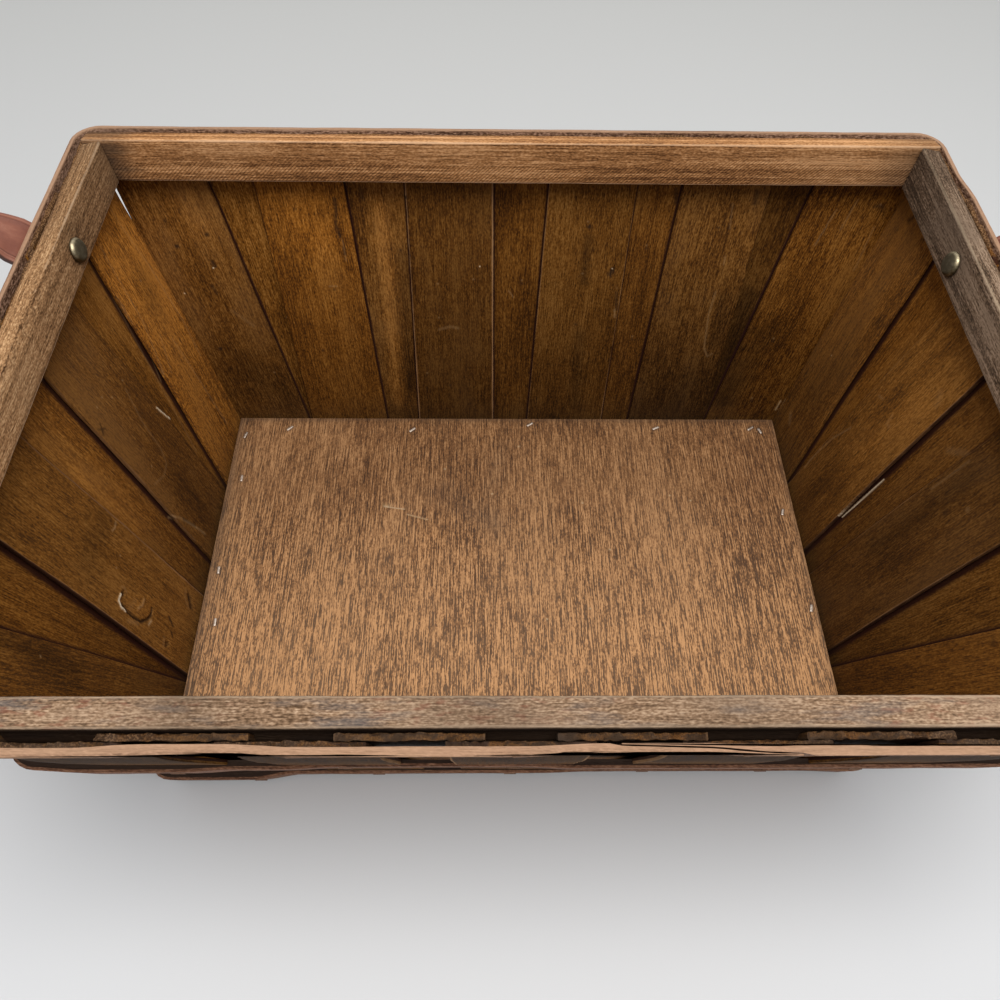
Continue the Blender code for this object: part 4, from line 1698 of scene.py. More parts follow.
@dataclass
class Strap:
    """One leather handle: a strap riveted up the rim at both ends, with a loop between them."""

    side: Side
    half_width: float = 15.0 * MM
    half_thickness: float = 1.75 * MM
    round_edge: float = 1.1 * MM
    crease_inset: float = 3.4 * MM
    crease_depth: float = 0.45 * MM
    crease_width: float = 0.9 * MM
    crown: float = 0.25 * MM
    depth: float = 9.85 * MM
    rivet_drop: float = 13.0 * MM
    tail: float = 14.0 * MM
    bend_start: float = 9.1 * MM
    bend_radius: float = 5.0 * MM
    lip: float = 4.0 * MM
    to_axis: float = 2.05 * MM
    reach: float = 72.0 * MM
    elevation: float = math.radians(38.0)
    twist: float = math.radians(82.0)
    tail_rings: int = 12
    tab_rings: int = 6
    bend_rings: int = 10
    loop_rings: int = 96
    blend_before: float = 4.5 * MM
    blend_after: float = 11.0 * MM

    def build(self) -> None:
        """Skin the strap along its path, dress it and hide the solids that it stands for."""
        label = self.side.label
        rings = self._rings()
        profile = self._profile(1.0)
        count = len(profile)
        last = (len(rings) - 1) * count
        faces = [(row + step, row + after, row + count + after, row + count + step)
                 for row in range(0, last, count)
                 for step, after in enumerate((*range(1, count), 0))]
        faces += [tuple(reversed(range(count))), tuple(range(last, last + count))]
        mesh = bpy.data.meshes.new(f"strap_{label}")
        mesh.from_pydata([tuple(point) for ring, _ in rings for point in ring], [], faces)
        strap = Piece.new(mesh.name, mesh)
        strap.place(Matrix.Rotation(self.side.value, 4, "Z"))
        strap.open()
        bpy.ops.mesh.normals_make_consistent(inside=False)
        strap.close()
        grain = [(wide, thick, length) for _, length in rings for wide, thick, _ in profile]
        place = [(wide / self.half_width, 0.5, crease) for wide, _, crease in profile]
        strap.paint(grain=np.array(grain) + np.array((0.9, 0.0, self.side.value)),
                    place=np.array(place * len(rings)))
        strap.roughen("supple", 26.0 * MM, 0.5 * MM, detail=1)
        strap.smooth(60.0)
        strap.mesh.materials.append(material_of(LeatherFinish()))
        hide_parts(f"handle_loop_{label}", f"handle_tab_{label}_far",
                    f"handle_tab_{label}_near")
        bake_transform(strap.body)
        LOG.info("%s: %d faces", strap.body.name, len(strap.mesh.polygons))

    def _profile(self, share: float) -> list[tuple[float, float, float]]:
        """Points round the strap's section, each with the share of crease there.

        Args:
            share: Share of the full width, below 1 in the rounded tails.

        Returns:
            Place across, place through and crease share of each point.
        """
        half = self.half_width * share
        edge = min(self.round_edge, half * 0.6)
        flat = max(half - edge, 0.0)
        crease = max(half - self.crease_inset, 0.0)
        top = []
        for wide in (flat, crease + self.crease_width, crease, crease - self.crease_width,
                     crease * 0.6, crease * 0.3, 0.0):
            wide = max(wide, 0.0)
            groove = abs(wide - crease) < 0.01 * MM and share > 0.9
            ridge = abs(wide - crease - self.crease_width) < 0.01 * MM and share > 0.9
            rise = self.crown * (1 - (wide / max(half, 0.1 * MM)) ** 2)
            top.append((wide, self.half_thickness + rise - self.crease_depth * groove,
                        1.0 if groove else -1.0 if ridge else 0.0))
        corner = [(flat + edge * math.sin(angle),
                   self.half_thickness - self.round_edge * (1 - math.cos(angle)), 0.0)
                  for angle in (math.radians(40), math.radians(70))]
        quarter = top[::-1] + corner
        lower = [(wide, -min(thick, self.half_thickness), 0.0) for wide, thick, _ in quarter[::-1]]
        right = quarter + [(half, 0.0, 0.0)] + lower
        return right + [(-wide, thick, pressed) for wide, thick, pressed in right[-2:0:-1]]

    def _line(self, rise: float) -> tuple[float, float]:
        """Offset and height of the strap's middle, a distance below the rim.

        Args:
            rise: The distance.

        Returns:
            The offset and the height.
        """
        out = WALL.rim_out + self.depth * math.cos(WALL.lean) - rise * math.sin(WALL.lean)
        height = WALL.rim_height - self.depth * math.sin(WALL.lean) - rise * math.cos(WALL.lean)
        return out, height

    def _tab(self) -> list[tuple[float, float, float, float]]:
        """The path of a tab.

        Returns:
            Offset, height, elevation and width share along it, from tail to hinge line.
        """
        upright = math.pi / 2 - WALL.lean
        lowest = self.rivet_drop + self.tail
        first = lowest - self.half_width
        path = []
        for ring in range(1, self.tail_rings + 1):
            angle = math.pi / 2 * ring / self.tail_rings
            rise = lowest - self.half_width * (1 - math.cos(angle))
            path.append((*self._line(rise), upright, math.sin(angle)))
        for ring in range(1, self.tab_rings + 1):
            rise = first + (self.bend_start - first) * ring / self.tab_rings
            path.append((*self._line(rise), upright, 1.0))
        out, height = self._line(self.bend_start)
        middle_out = out + self.bend_radius * math.sin(upright)
        middle_height = height - self.bend_radius * math.cos(upright)
        for ring in range(1, self.bend_rings + 1):
            angle = upright + (self.elevation - upright) * ring / self.bend_rings
            path.append((middle_out - self.bend_radius * math.sin(angle),
                         middle_height + self.bend_radius * math.cos(angle), angle, 1.0))
        out, height, angle, _ = path[-1]
        for distance in (self.lip * 0.5, self.lip, self.lip + self.to_axis):
            path.append((out + distance * math.cos(angle), height + distance * math.sin(angle),
                         angle, 1.0))
        return path

    def _rings(self) -> list[tuple[list[Vector], float]]:
        """Rings of points along the strap.

        Returns:
            The points of each ring and its distance along the strap.
        """
        low, high = sorted(rivet_along(self.side, end) for end in ("far", "near"))
        half_span = (high - low) / 2
        depth = WALL.half_depth(self.side)
        tab = self._tab()

        def riveted(along: float, hand: float) -> list[tuple[Vector, Vector, Vector, float]]:
            """Middle, two directions and width share of each ring of a tab.

            Args:
                along: Place of the tab along the wall.
                hand: Sign of the strap's direction across.

            Returns:
                One row for each ring.
            """
            return [(Vector((along, depth + out, height)), Vector((hand, 0.0, 0.0)),
                     Vector((0.0, -math.sin(angle), math.cos(angle))), share)
                    for out, height, angle, share in tab]

        stations = riveted(high, 1.0)
        out, height, _, _ = tab[-1]
        hinge = Vector(((high + low) / 2, depth + out, height))
        side = Vector((1.0, 0.0, 0.0))
        reach = Vector((0.0, math.cos(self.elevation), math.sin(self.elevation)))
        above = Vector((0.0, -math.sin(self.elevation), math.cos(self.elevation)))
        for step in range(1, self.loop_rings):
            angle = math.pi * step / self.loop_rings
            middle = (hinge + side * (half_span * math.cos(angle))
                      + reach * (self.reach * math.sin(angle)))
            outward = (side * (math.cos(angle) / half_span)
                       + reach * (math.sin(angle) / self.reach)).normalized()
            turn = self.twist * math.sin(angle)
            stations.append((middle, outward * math.cos(turn) - above * math.sin(turn),
                             outward * math.sin(turn) + above * math.cos(turn), 1.0))
        stations += reversed(riveted(low, -1.0))
        length = 0.0
        before = stations[0][0]
        rings = []
        for middle, across, through, share in stations:
            length += (middle - before).length
            before = middle
            rings.append(([middle + across * wide + through * thick
                           for wide, thick, _ in self._profile(share)], length))
        return rings


def rivet_along(side: Side, end: str) -> float:
    """Place of a rivet along its end wall."""
    low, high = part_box(f"handle_rivet_{side.label}_{end}")
    return (Matrix.Rotation(-side.value, 3, "Z") @ ((low + high) / 2)).x


@dataclass
class Rivets:
    """Brass rivets with a rolled rim round each dome and a spread tail outside.

    The rows of head and tail give shares of height and radius, and how rubbed they are.
    """

    head_radius: float = 6.35 * MM
    head_height: float = 3.2 * MM
    shank_radius: float = 2.2 * MM
    tail_radius: float = 3.6 * MM
    tail_height: float = 1.3 * MM
    seat: float = -11.6 * MM
    back: float = 11.9 * MM
    drop: float = 13.0 * MM
    sides: int = 40
    rubbed_turn: float = math.radians(100.0)
    head: tuple[tuple[float, float, float], ...] = (
        (1.0, 0.10, -1.0), (0.99, 0.30, -1.0), (0.96, 0.52, -1.0), (0.89, 0.70, -0.9),
        (0.80, 0.80, -0.5), (0.68, 0.875, 0.6), (0.55, 0.935, 1.0), (0.40, 0.975, 1.0),
        (0.22, 1.0, 0.7), (0.08, 0.99, 0.0))
    spread: tuple[tuple[float, float, float], ...] = (
        (0.35, 1.0, 1.0), (0.75, 0.86, 0.8), (1.0, 0.55, 0.4), (0.92, 0.2, 0.2))

    def build(self) -> None:
        """Turn the head and the tail of each rivet."""
        profile = [(self.seat - self.head_height * tall, self.head_radius * wide, rubbed)
                   for tall, wide, rubbed in self.head]
        profile += [(self.seat - 0.02 * MM, 0.95 * self.head_radius, -0.8),
                    (self.seat, self.shank_radius, 0.0), (self.back, self.shank_radius, 0.0),
                    (self.back + 0.02 * MM, self.tail_radius * 0.97, 0.3)]
        profile += [(self.back + self.tail_height * tall, self.tail_radius * wide, rubbed)
                    for tall, wide, rubbed in self.spread]
        for side in (Side.LEFT, Side.RIGHT):
            for end in ("far", "near"):
                rivet = self._turned(f"rivet_{side.label}_{end}", profile)
                spot = Matrix.Translation((rivet_along(side, end), -self.drop, 0.0))
                rivet.place(WALL.axes(side, rim=True) @ spot)
                rivet.hand_over("brass", material_of(BRASS),
                                f"handle_rivet_{side.label}_{end}")

    def _turned(self, name: str, profile: Sequence[tuple[float, float, float]]) -> Piece:
        """Raise a round piece ring by ring along its own axis.

        Args:
            name: Name of the piece.
            profile: Depth, radius and rubbed share of each ring.

        Returns:
            The piece, with its axis on Z.
        """
        bpy.ops.object.select_all(action="DESELECT")
        bpy.ops.mesh.primitive_circle_add(vertices=self.sides, radius=profile[0][1],
                                          fill_type="NGON", location=(0.0, 0.0, profile[0][0]))
        piece = Piece.active(name)
        bpy.ops.object.mode_set(mode="EDIT")
        bpy.ops.mesh.select_all(action="SELECT")
        for (before, inner, _), (after, outer, _) in zip(profile, profile[1:]):
            bpy.ops.mesh.extrude_region_move(
                TRANSFORM_OT_translate={"value": (0.0, 0.0, after - before)})
            scale = outer / inner
            bpy.ops.transform.resize(value=(scale, scale, 1.0), center_override=(0, 0, 0))
        bpy.ops.mesh.select_all(action="SELECT")
        bpy.ops.mesh.normals_make_consistent(inside=False)
        piece.close()
        depths, _, shares = np.array(profile).T
        points = piece.points
        rubbed = shares[np.abs(points[:, 2:3] - depths[None, :]).argmin(axis=1)]
        # Painted highlight: the rubbed share is kept only on the side of each rivet that faces the
        # light.
        lit = points[:, 0] * math.cos(self.rubbed_turn) + points[:, 1] * math.sin(self.rubbed_turn)
        facing = np.clip(lit / np.linalg.norm(points[:, :2], axis=1) * 1.4 - 0.1, 0, 1)
        piece.paint(place=columns(np.maximum(rubbed, 0) * facing * 0.7,
                                  np.maximum(-rubbed, 0) * 0.8, 0.0))
        piece.smooth(45.0)
        return piece


# --------------------------------------------------------------------------- staples

@dataclass
class Fasteners:
    """Wire staples in the board, the walls and the bands.

    A staple of the board is given by its place and its turn, one of a wall by its side, its
    place along the wall and above the board, and its turn. Places are in millimetres.
    """

    wire: float = 1.5 * MM
    proud: float = 0.6 * MM
    leg: float = 1.2 * MM
    crown: float = 5.0 * MM
    band_crown: float = 6.5 * MM
    board_staples: tuple[tuple[float, float, float], ...] = (
        (-177, 102, 1.3), (-148, 108, 0.8), (-65, 107, 0.7), (15, 112, 0.6), (101, 109, 0.45),
        (166, 109, 0.6), (172, 107, 1.9), (-174, 66, 1.6), (-177, -3, 1.6), (-173, -38, 1.6),
        (175, 40, 1.3), (179, -29, 1.3))
    wall_staples: tuple[tuple[Side, float, float, float], ...] = (
        (Side.LEFT, -105, 124, -0.3), (Side.RIGHT, 101, 122, 0.1), (Side.RIGHT, 30, 124, 1.0),
        (Side.RIGHT, -103, 124, 0.7))

    def build(self) -> None:
        """Drive the staples."""
        steel, rust = material_of(STEEL), material_of(RUST)
        pattern = self._pattern(self.crown)
        for number, (x, y, turn) in enumerate(self.board_staples, start=1):
            matrix = (Matrix.Translation((x * MM, y * MM, WALL.board_top))
                      @ Matrix.Rotation(turn, 4, "Z"))
            self._drive(f"board_staple_{number}", pattern, matrix, steel)
        for number, (side, along, rise, turn) in enumerate(self.wall_staples, start=1):
            spot = (along * MM, rise * MM / math.cos(WALL.flare), 0.0)
            matrix = (WALL.axes(side) @ Matrix.Translation(spot)
                      @ Matrix.Rotation(turn, 4, "Z") @ Matrix.Rotation(math.pi, 4, "X"))
            self._drive(f"wall_staple_{number}", pattern, matrix, steel)
        bpy.data.objects.remove(pattern.body)
        pattern = self._pattern(self.band_crown)
        for label in ("rim", "middle", "foot"):
            for side in Side:
                for number in range(1, 4 if side.is_end else 6):
                    self._drive_through(label, side, number, pattern, rust)
        bpy.data.objects.remove(pattern.body)

    def board_dirt(self) -> tuple[Stroke, ...]:
        """Dark rings round the staples of the board.

        Returns:
            A stroke for each staple.
        """
        return tuple(Stroke(Trace.DARK, 1.7, 0.6, 0.0, (
            (x - 1.6 * math.cos(turn), y - 1.6 * math.sin(turn)),
            (x + 1.6 * math.cos(turn), y + 1.6 * math.sin(turn))))
            for x, y, turn in self.board_staples)

    def _pattern(self, crown: float) -> Piece:
        """Bend a staple to copy: a flat crown with two short legs.

        Args:
            crown: Length of the crown.

        Returns:
            The staple, lying across the origin with its legs down.
        """
        bpy.ops.object.select_all(action="DESELECT")
        bpy.ops.mesh.primitive_cube_add(size=1.0, location=(0.0, 0.0, 0.0))
        bpy.context.active_object.scale = (crown, self.wire, self.wire * 0.7)
        staple = Piece.active("staple")
        staple.refine(crown * 0.3)
        ends = np.array([abs(face.center.x) > crown * 0.3 and face.normal.z < -0.9
                         for face in staple.mesh.polygons])
        staple.pick(faces=ends)
        bpy.ops.mesh.extrude_region_move(TRANSFORM_OT_translate={"value": (0.0, 0.0, -self.leg)})
        staple.close()
        staple.bevel(self.wire * 0.22)
        staple.place(Matrix.Translation((0.0, 0.0, self.proud - self.wire * 0.35)))
        staple.paint(place=staple.points * 0 + (0.7, 0.0, 0.0))
        staple.smooth()
        return staple

    @staticmethod
    def _drive(name: str, pattern: Piece, matrix: Matrix,
               material: bpy.types.Material) -> None:
        """Set one copy of a staple in its place.

        Args:
            name: Name of the staple.
            pattern: The staple to copy.
            matrix: Its place.
            material: Its material.
        """
        staple = Piece.new(name, pattern.mesh.copy())
        staple.place(matrix)
        staple.hand_over("brass", material)

    def _drive_through(self, label: str, side: Side, number: int, pattern: Piece,
                       material: bpy.types.Material) -> None:
        """Drive a staple through a band into an outer slat, from outside.

        Args:
            label: Which band.
            side: Which wall.
            number: Which outer slat.
            pattern: The staple to copy.
            material: Its material.
        """
        low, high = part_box(f"{label}_band")
        slat = Piece(bpy.data.objects[f"{side.label}_outer_slat_{number}"]).points
        height = (low.z + high.z) / 2
        along = WALL.local(side, slat[np.abs(slat[:, 2] - height) < 8.0 * MM])[:, 0]
        axes = WALL.axes(side, rim=label == "rim")
        rise = (height - axes[2][3] - axes[2][2] * 8.0 * MM) / axes[2][1]
        start = axes @ Vector(((along.min() + along.max()) / 2, rise, 40.0 * MM))
        inward = axes.to_3x3() @ Vector((0.0, 0.0, -1.0))
        hit, place, _, _ = bpy.data.objects[f"band_{label}"].ray_cast(start, inward)
        if not hit:
            LOG.warning("%s band: no staple at %s %d", label, side.label, number)
            return
        lean = 0.5 * math.sin(7.0 * number + len(label))
        matrix = (Matrix.Translation(place) @ axes.to_3x3().to_4x4()
                  @ Matrix.Rotation(lean, 4, "Z"))
        self._drive(f"band_staple_{label}_{side.label}_{number}", pattern, matrix, material)


# --------------------------------------------------------------------------- studio

@dataclass
class Studio:
    """Pale floor, soft light and the camera."""

    focal: float = 878.66
    place: tuple[float, float, float] = (-0.01532, -0.27294, 0.48469)
    yaw: float = 0.0290
    pitch: float = 0.9641
    roll: float = -0.0255
    image: float = 1000.0
    sensor: float = 36.0
    floor_size: float = 12.0
    floor_drop: float = 0.4 * MM
    near_floor: Colour = (0.66, 0.665, 0.675)
    far_floor: Colour = (0.60, 0.595, 0.575)
    lamp_power: float = 24.0
    lamp_place: tuple[float, float, float] = (0.10, -0.35, 1.6)
    lamp_size: float = 1.2
    lamp_colour: Colour = (1.0, 0.985, 0.96)
    sky_strength: float = 0.5
    sky: Colour = (0.93, 0.96, 1.0)
    backdrop: Colour = (0.80, 0.81, 0.82)

    def build(self) -> None:
        """Set the floor, the lights and the camera."""
        self._floor()
        self._lamp()
        self._world()
        self._camera()
        bpy.context.scene.view_settings.view_transform = "Standard"

    def _floor(self) -> None:
        """A wide plain floor."""
        bpy.ops.object.select_all(action="DESELECT")
        bpy.ops.mesh.primitive_plane_add(size=self.floor_size,
                                         location=(0.0, 0.0, -self.floor_drop))
        floor = Piece.active("floor")
        recipe = Recipe("pale floor")
        _, back, _ = recipe.split(recipe.node("ShaderNodeTexCoord", output="Object"))
        colour = recipe.mix(back.between(-0.15, 0.75), self.near_floor, self.far_floor)
        floor.mesh.materials.append(recipe.finish(colour, 0.7))

    def _lamp(self) -> None:
        """One wide lamp above."""
        data = bpy.data.lights.new("soft lamp", "AREA")
        data.shape = "RECTANGLE"
        data.size = self.lamp_size
        data.size_y = self.lamp_size * 0.8
        data.energy = self.lamp_power
        data.color = self.lamp_colour
        lamp = put_in("soft lamp", data)
        lamp.location = self.lamp_place
        lamp.rotation_euler = Vector(self.lamp_place).to_track_quat("Z", "Y").to_euler()

    def _world(self) -> None:
        """An even sky, which looks white to the camera and in reflections."""
        world = bpy.data.worlds.new("sky")
        bpy.context.scene.world = world
        world.use_nodes = True
        tree = world.node_tree
        tree.nodes.clear()
        path = tree.nodes.new("ShaderNodeLightPath")
        camera, glossy, through = (Term(tree, path.outputs[f"Is {kind} Ray"])
                                   for kind in ("Camera", "Glossy", "Transmission"))
        mixer = tree.nodes.new("ShaderNodeMixShader")
        plug(tree, mixer.inputs[0], camera.at_least(glossy).at_least(through))
        for slot, colour, strength in ((1, self.sky, self.sky_strength),
                                       (2, self.backdrop, 1.0)):
            glow = tree.nodes.new("ShaderNodeBackground")
            plug(tree, glow.inputs["Color"], colour)
            plug(tree, glow.inputs["Strength"], strength)
            tree.links.new(glow.outputs[0], mixer.inputs[slot])
        out = tree.nodes.new("ShaderNodeOutputWorld")
        tree.links.new(mixer.outputs[0], out.inputs[0])

    def _camera(self) -> None:
        """The camera where the photograph was taken from."""
        forward = Vector((math.sin(self.yaw) * math.cos(self.pitch),
                          math.cos(self.yaw) * math.cos(self.pitch), -math.sin(self.pitch)))
        right = Vector((math.cos(self.yaw), -math.sin(self.yaw), 0.0))
        down = forward.cross(right)
        across = math.cos(self.roll) * right + math.sin(self.roll) * down
        below = math.cos(self.roll) * down - math.sin(self.roll) * right
        data = bpy.data.cameras.new("camera")
        data.sensor_width = self.sensor
        data.lens = self.focal / self.image * self.sensor
        data.clip_start = 0.01
        camera = put_in("camera", data)
        turned = Matrix((across, -below, -forward)).transposed().to_4x4()
        camera.matrix_world = Matrix.Translation(self.place) @ turned
        bpy.context.scene.camera = camera


# --------------------------------------------------------------------------- marks of use

def dots(trace: Trace, width: float, share: float,
         *places: tuple[float, float]) -> tuple[Stroke, ...]:
    """Round marks of one kind at several places."""
    return tuple(Stroke(trace, width, share, 0.0, (place,)) for place in places)


def lines(trace: Trace, *rows: tuple[Any, ...]) -> tuple[Stroke, ...]:
    """Drawn marks of one kind, each by its width, share, lift and points."""
    return tuple(Stroke(trace, width, share, lift, tuple(points))
                 for width, share, lift, *points in rows)


FAR_STROKES = (
    *dots(Trace.DARK, 1.5, 0.85,
          (-200, 116), (-181, 123), (-187, 50), (-62, 145), (46, 129)),
    *dots(Trace.DARK, 1.1, 0.6,
          (-204, 131), (-127, 138), (-67, 113), (-109, 90), (7, 93), (13, 63), (82, 115),
          (123, 129), (171, 57), (166, 13), (-121, 49), (-39, 24), (42, 68), (80, 56)),
    *dots(Trace.PALE, 0.56, 0.9,
          (-202, 87), (-19, 105), (-181, 103), (210, 48), (62, 104)),
    *dots(Trace.PALE, 0.72, 0.22,
          (-23, 97), (-45, 94), (-45, 72), (-54, 33), (-142, 70), (-155, 33), (45, 132), (44, 101),
          (66, 92), (82, 117), (74, 148), (7, 95), (80, 58), (171, 59), (216, 143), (166, 15)),
    *lines(Trace.DARK,
           (1.2, 0.85, -0.4, (-181, 107), (-180, 104)), (1.1, 0.6, 0, (-184, 92), (-182, 87)),
           (1.2, 0.6, 0, (-88, 149), (-87, 143)),
           (1.1, 0.75, -0.4, (-103, 144), (-103, 137), (-104, 129), (-102, 122)),
           (1.5, 0.9, -0.4, (62, 103), (61, 100)), (1.1, 0.55, 0, (66, 89), (67, 78)),
           (1.8, 0.6, 0, (142, 150), (142, 143)), (1.2, 0.6, 0, (95, 150), (96, 142)),
           (1.8, 0.6, 0, (214, 142), (218, 141))),
    *lines(Trace.PALE,
           (0.56, 0.17, 0, (-101, 120), (-100, 108)), (0.5, 0.22, 0, (-112, 92), (-107, 92)),
           (0.96, 0.17, 0, (-45, 64), (-38, 66), (-33, 65)),
           (1.28, 0.09, 0, (-175, 76), (-170, 72), (-163, 66)),
           (0.56, 0.34, 0, (66, 78), (66.5, 73)),
           (0.56, 0.22, 0, (128, 90), (126, 75), (127, 52), (130, 46), (133, 48)),
           (0.5, 0.26, 0, (130, 112), (130, 107)), (0.5, 0.19, 0, (129, 143), (130, 128)),
           (0.5, 0.22, 0, (191, 140), (183, 119)), (0.5, 0.19, 0, (202, 146), (196, 128)),
           (0.5, 0.15, 0, (216, 130), (211, 104)), (0.72, 0.45, 0, (186, 13), (184, 6)),
           (0.5, 0.22, 0, (-1, 88), (2, 84))),
    *lines(Trace.LIGHT,
           (4.5, 0.6, 0, (-77, 140), (-75, 10)), (3.5, -0.35, 0, (-66, 110), (-66, 20)),
           (14.0, 0.25, 0, (-125, 135), (-115, 122)), (3.0, -0.45, 0, (46, 122), (45, 96)),
           (4.5, -0.35, 0, (45, 62), (46, 8)), (8.0, -0.5, 0, (150, 85), (144, 10)),
           (10.0, -0.4, 0, (165, 62), (152, 15)), (4.0, -0.3, 0, (133, 86), (133, 55)),
           (12.0, -0.25, 0, (122, 32), (112, 10)), (10.0, 0.3, 0, (-190, 140), (-185, 130)),
           (16.0, -0.3, 0, (-170, 35), (-150, 15))),
)
LEFT_STROKES = (
    *dots(Trace.PALE, 0.64, 0.38,
          (-43, 71), (-35.6, 70.7), (29, 113), (36.7, 112), (42, 106), (26, 66), (-105.5, 100),
          (127, 112), (57, 103)),
    *lines(Trace.DARK,
           (0.9, 0.95, -1.1, (-58.4, 60), (-60, 54.5), (-60.3, 49.5), (-59.4, 43), (-56, 39),
            (-53, 37), (-48.8, 37.6)),
           (1.4, 0.95, -1.2, (-52.8, 61.6)), (1.8, 0.7, -1.0, (-61, 19)),
           (0.8, 0.85, 0, (-55, 16.5), (-53.3, 18)),
           (0.8, 0.85, 0, (-49.5, 18), (-47, 21.5), (-46.3, 22.7)),
           (1.4, 0.9, -1.2, (-31.2, 5.5), (-25.2, 10.3)), (0.6, 0.8, 0, (18, 108), (22, 104)),
           (0.6, 0.8, 0, (22, 108), (18, 104)), (1.0, 0.8, -0.8, (14.5, 30), (17, 18))),
    *lines(Trace.PALE,
           (0.72, 1.0, 0.7, (-60.6, 57), (-60.3, 61), (-58, 63.8), (-54.3, 63.6)),
           (0.5, 0.22, 0, (-50, 64), (-49.5, 61.5), (-51, 59.5)),
           (0.96, 0.34, 0.5, (-54.5, 48.5), (-51.5, 46), (-47.8, 45.8)),
           (0.88, 0.52, 0, (-58.5, 37.5), (-55.5, 36.2)), (1.28, 0.17, 0, (-64, 53), (-62, 46)),
           (1.6, 0.11, 0, (-57, 54), (-52, 52)), (0.88, 0.15, 0, (-63.5, 22), (-59, 23)),
           (0.88, 0.12, 0, (-33, 8), (-29, 13), (-24, 14)),
           (0.56, 0.45, 0, (-26.5, 80.5), (-24, 79.5), (-20.5, 80)),
           (0.64, 0.14, 0, (18, 60), (27.7, 54.7), (36, 55), (41, 62), (45, 81), (54, 99.5)),
           (0.6, 1.0, 0.7, (61.7, 74.5), (63, 66), (65.2, 57.8)),
           (0.88, 0.3, 0.4, (10, 39), (13, 33), (16, 22), (18, 8)),
           (0.64, 0.19, 0, (119, 147), (104, 102), (85, 72)),
           (0.72, 0.19, 0, (115, 77), (110, 45), (104, 10)),
           (0.64, 0.15, 0, (101.7, 124), (81, 68), (66, 29)),
           (0.72, 0.19, 0, (147, 147), (143, 110), (135, 72), (127, 50)),
           (0.64, 0.15, 0, (108, 87), (93, 70))),
    *lines(Trace.LIGHT,
           (6.0, 0.25, 0, (-54, 52), (-50, 42)), (10.0, -0.3, 0, (130, 112), (122, 100)),
           (9.0, -0.3, 0, (-50, 90), (-25, 88)), (6.0, -0.4, 0, (-108, 125), (-103, 80)),
           (9.0, 0.25, 0, (-10, 105), (-8, 60)), (12.0, -0.2, 0, (35, 40), (35, 12))),
)
RIGHT_STROKES = (
    *dots(Trace.DARK, 2.2, 0.5,
          (-29.6, 103), (105.5, 104), (-101, 104)),
    *lines(Trace.DARK,
           (1.4, 0.8, 0, (122, 151), (123, 148)), (1.4, 0.8, 0, (142, 149), (144, 145))),
    *lines(Trace.PALE,
           # Painted light: the first pale line stands in for light seen through the gap between
           # two slats.
           (0.64, 1.0, 0, (15.6, 70), (15.0, 33)), (2.08, 0.12, 0, (-7, 123), (2, 114)),
           (1.6, 0.17, 0, (-36, 115)), (0.56, 0.19, 0, (-14, 125), (-13, 100)),
           (2.4, 0.11, 0, (27, 120), (31, 124)), (0.96, 0.15, 0, (38, 88), (41, 87), (43, 92)),
           (0.96, 0.14, 0, (57, 90), (61, 88)),
           (0.64, 0.22, 0, (59, 62), (64, 45), (65, 28), (64, 16)),
           (1.92, 0.15, 0, (104, 13), (109, 16)), (1.04, 0.38, 0, (123.5, 14), (121.5, 4)),
           (0.64, 0.52, 0, (116, 64))),
    *lines(Trace.LIGHT,
           (8.0, -0.3, 0, (-22, 122), (-20, 55)), (12.0, -0.2, 0, (100, 80), (103, 40)),
           (12.0, 0.2, 0, (35, 110), (38, 60))),
)
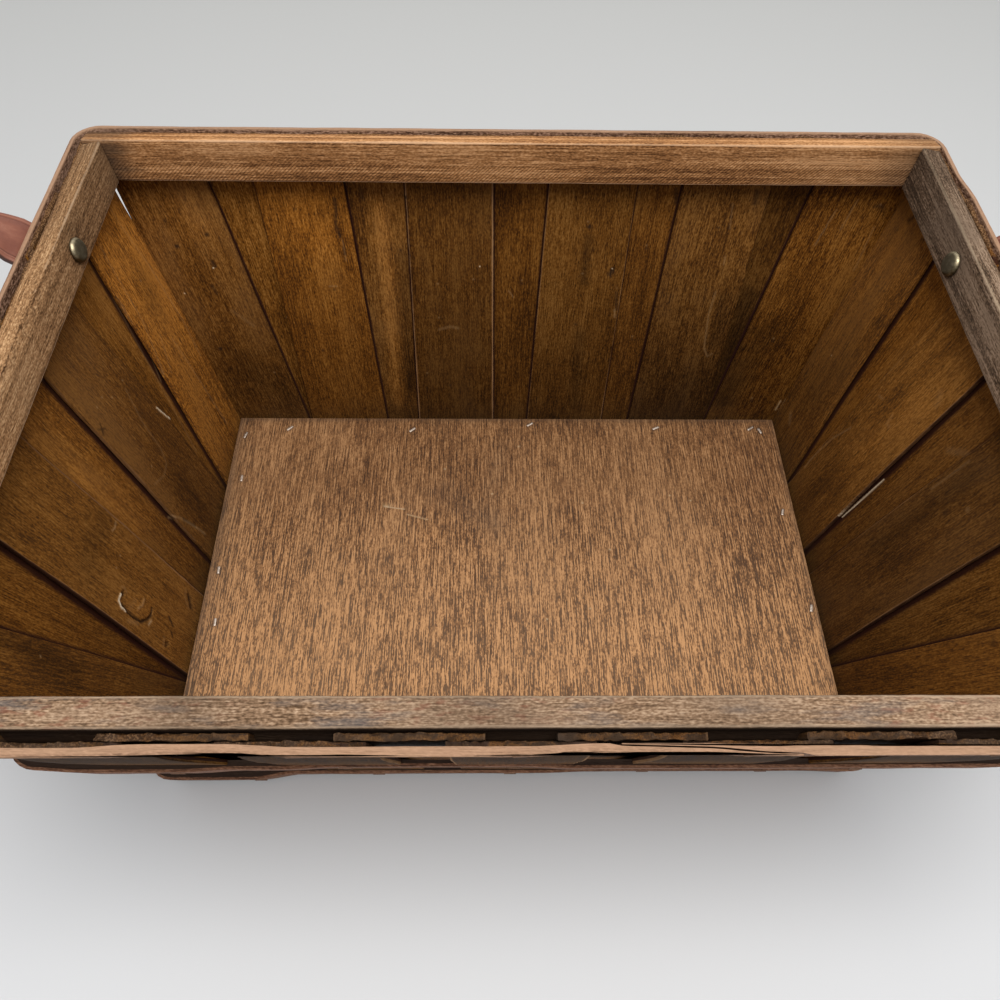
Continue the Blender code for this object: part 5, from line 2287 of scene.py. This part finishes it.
BOARD_STROKES = (
    *dots(Trace.PALE, 0.9, 0.6,
          (-42, 74), (7, 93), (-11, 54), (47, 47), (104, 53), (117, 49), (62, 12), (21, -36),
          (47, -29)),
    *lines(Trace.PALE,
           (0.6, 0.6, -0.3, (-80, 44), (-67, 42)), (0.6, 0.5, -0.3, (-65, 38), (-52, 34))),
    *lines(Trace.DIRT,
           (10.0, 0.28, 0, (-42, 56), (-27, 42), (-10, 32)), (7.0, 0.16, 0, (-14, 50), (-3, 92))),
    *lines(Trace.LIGHT,
           (6.0, 0.15, 0, (-52, 22), (-52, 8)), (9.0, -0.35, 0, (-183, 118), (-183, -118)),
           (5.0, -0.3, 0, (-183, 118), (183, 118))),
)


# --------------------------------------------------------------------------- the basket

def looks(*rows: tuple[float, ...]) -> tuple[SlatLook, ...]:
    """The look of each slat along a wall."""
    return tuple(SlatLook(*row) for row in rows)


class Basket:
    """All the sub-assemblies of the basket, in the order in which they are built."""

    def build(self) -> None:
        """Build every sub-assembly."""
        fasteners = Fasteners()
        for piece in (*self._walls(), TopRails(), FloorBattens(),
                      FloorBoard(BOARD_STROKES + fasteners.board_dirt()), Bands(), Rivets(),
                      Strap(Side.LEFT), Strap(Side.RIGHT), fasteners):
            piece.build()

    @staticmethod
    def _walls() -> tuple[SlatWall, ...]:
        """The four walls with the look of each slat and the marks on them.

        Returns:
            The walls in the order in which they are built.
        """
        return (
            SlatWall(Side.FAR,
                     looks((1.28, 0.1, 0.52), (0.93, 0.15, 0.45), (0.58, 0.1), (0.43,),
                           (1.0, 0.0, 0.3, 0.2), (0.62, 0.1, 0.5, 0.2)),
                     looks((0.64,), (1.17,), (0.53,), (0.80,), (0.30,)), FAR_STROKES, 1),
            SlatWall(Side.NEAR, looks((1.4, 0.1), (0.8,), (1.0,), (0.6,), (1.3,), (0.8, 0.1)),
                     looks((0.62,), (1.4,), (0.75,), (1.0,), (0.58,)), (), 50),
            SlatWall(Side.LEFT,
                     looks((1.02, 0.1), (0.64, 0.1, 0.92), (1.32, 0.0, 0.64),
                           (1.58, 0.05, 0.6, 0.4)),
                     looks((0.73,), (1.24,), (0.72, 0.0, 0.6)), LEFT_STROKES, 100),
            SlatWall(Side.RIGHT,
                     looks((1.24, 0.1, 0.5, 0.3), (0.79, 0.1), (0.98, 0.05, 0.68),
                           (0.92, 0.15)),
                     looks((0.87,), (0.9,), (0.55,)), RIGHT_STROKES, 150),
        )


def main() -> None:
    """Build the basket and its studio."""
    logging.basicConfig(level=logging.INFO, format="%(name)s: %(message)s")
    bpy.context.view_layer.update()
    Basket().build()
    Studio().build()


if __name__ == "__main__":
    main()
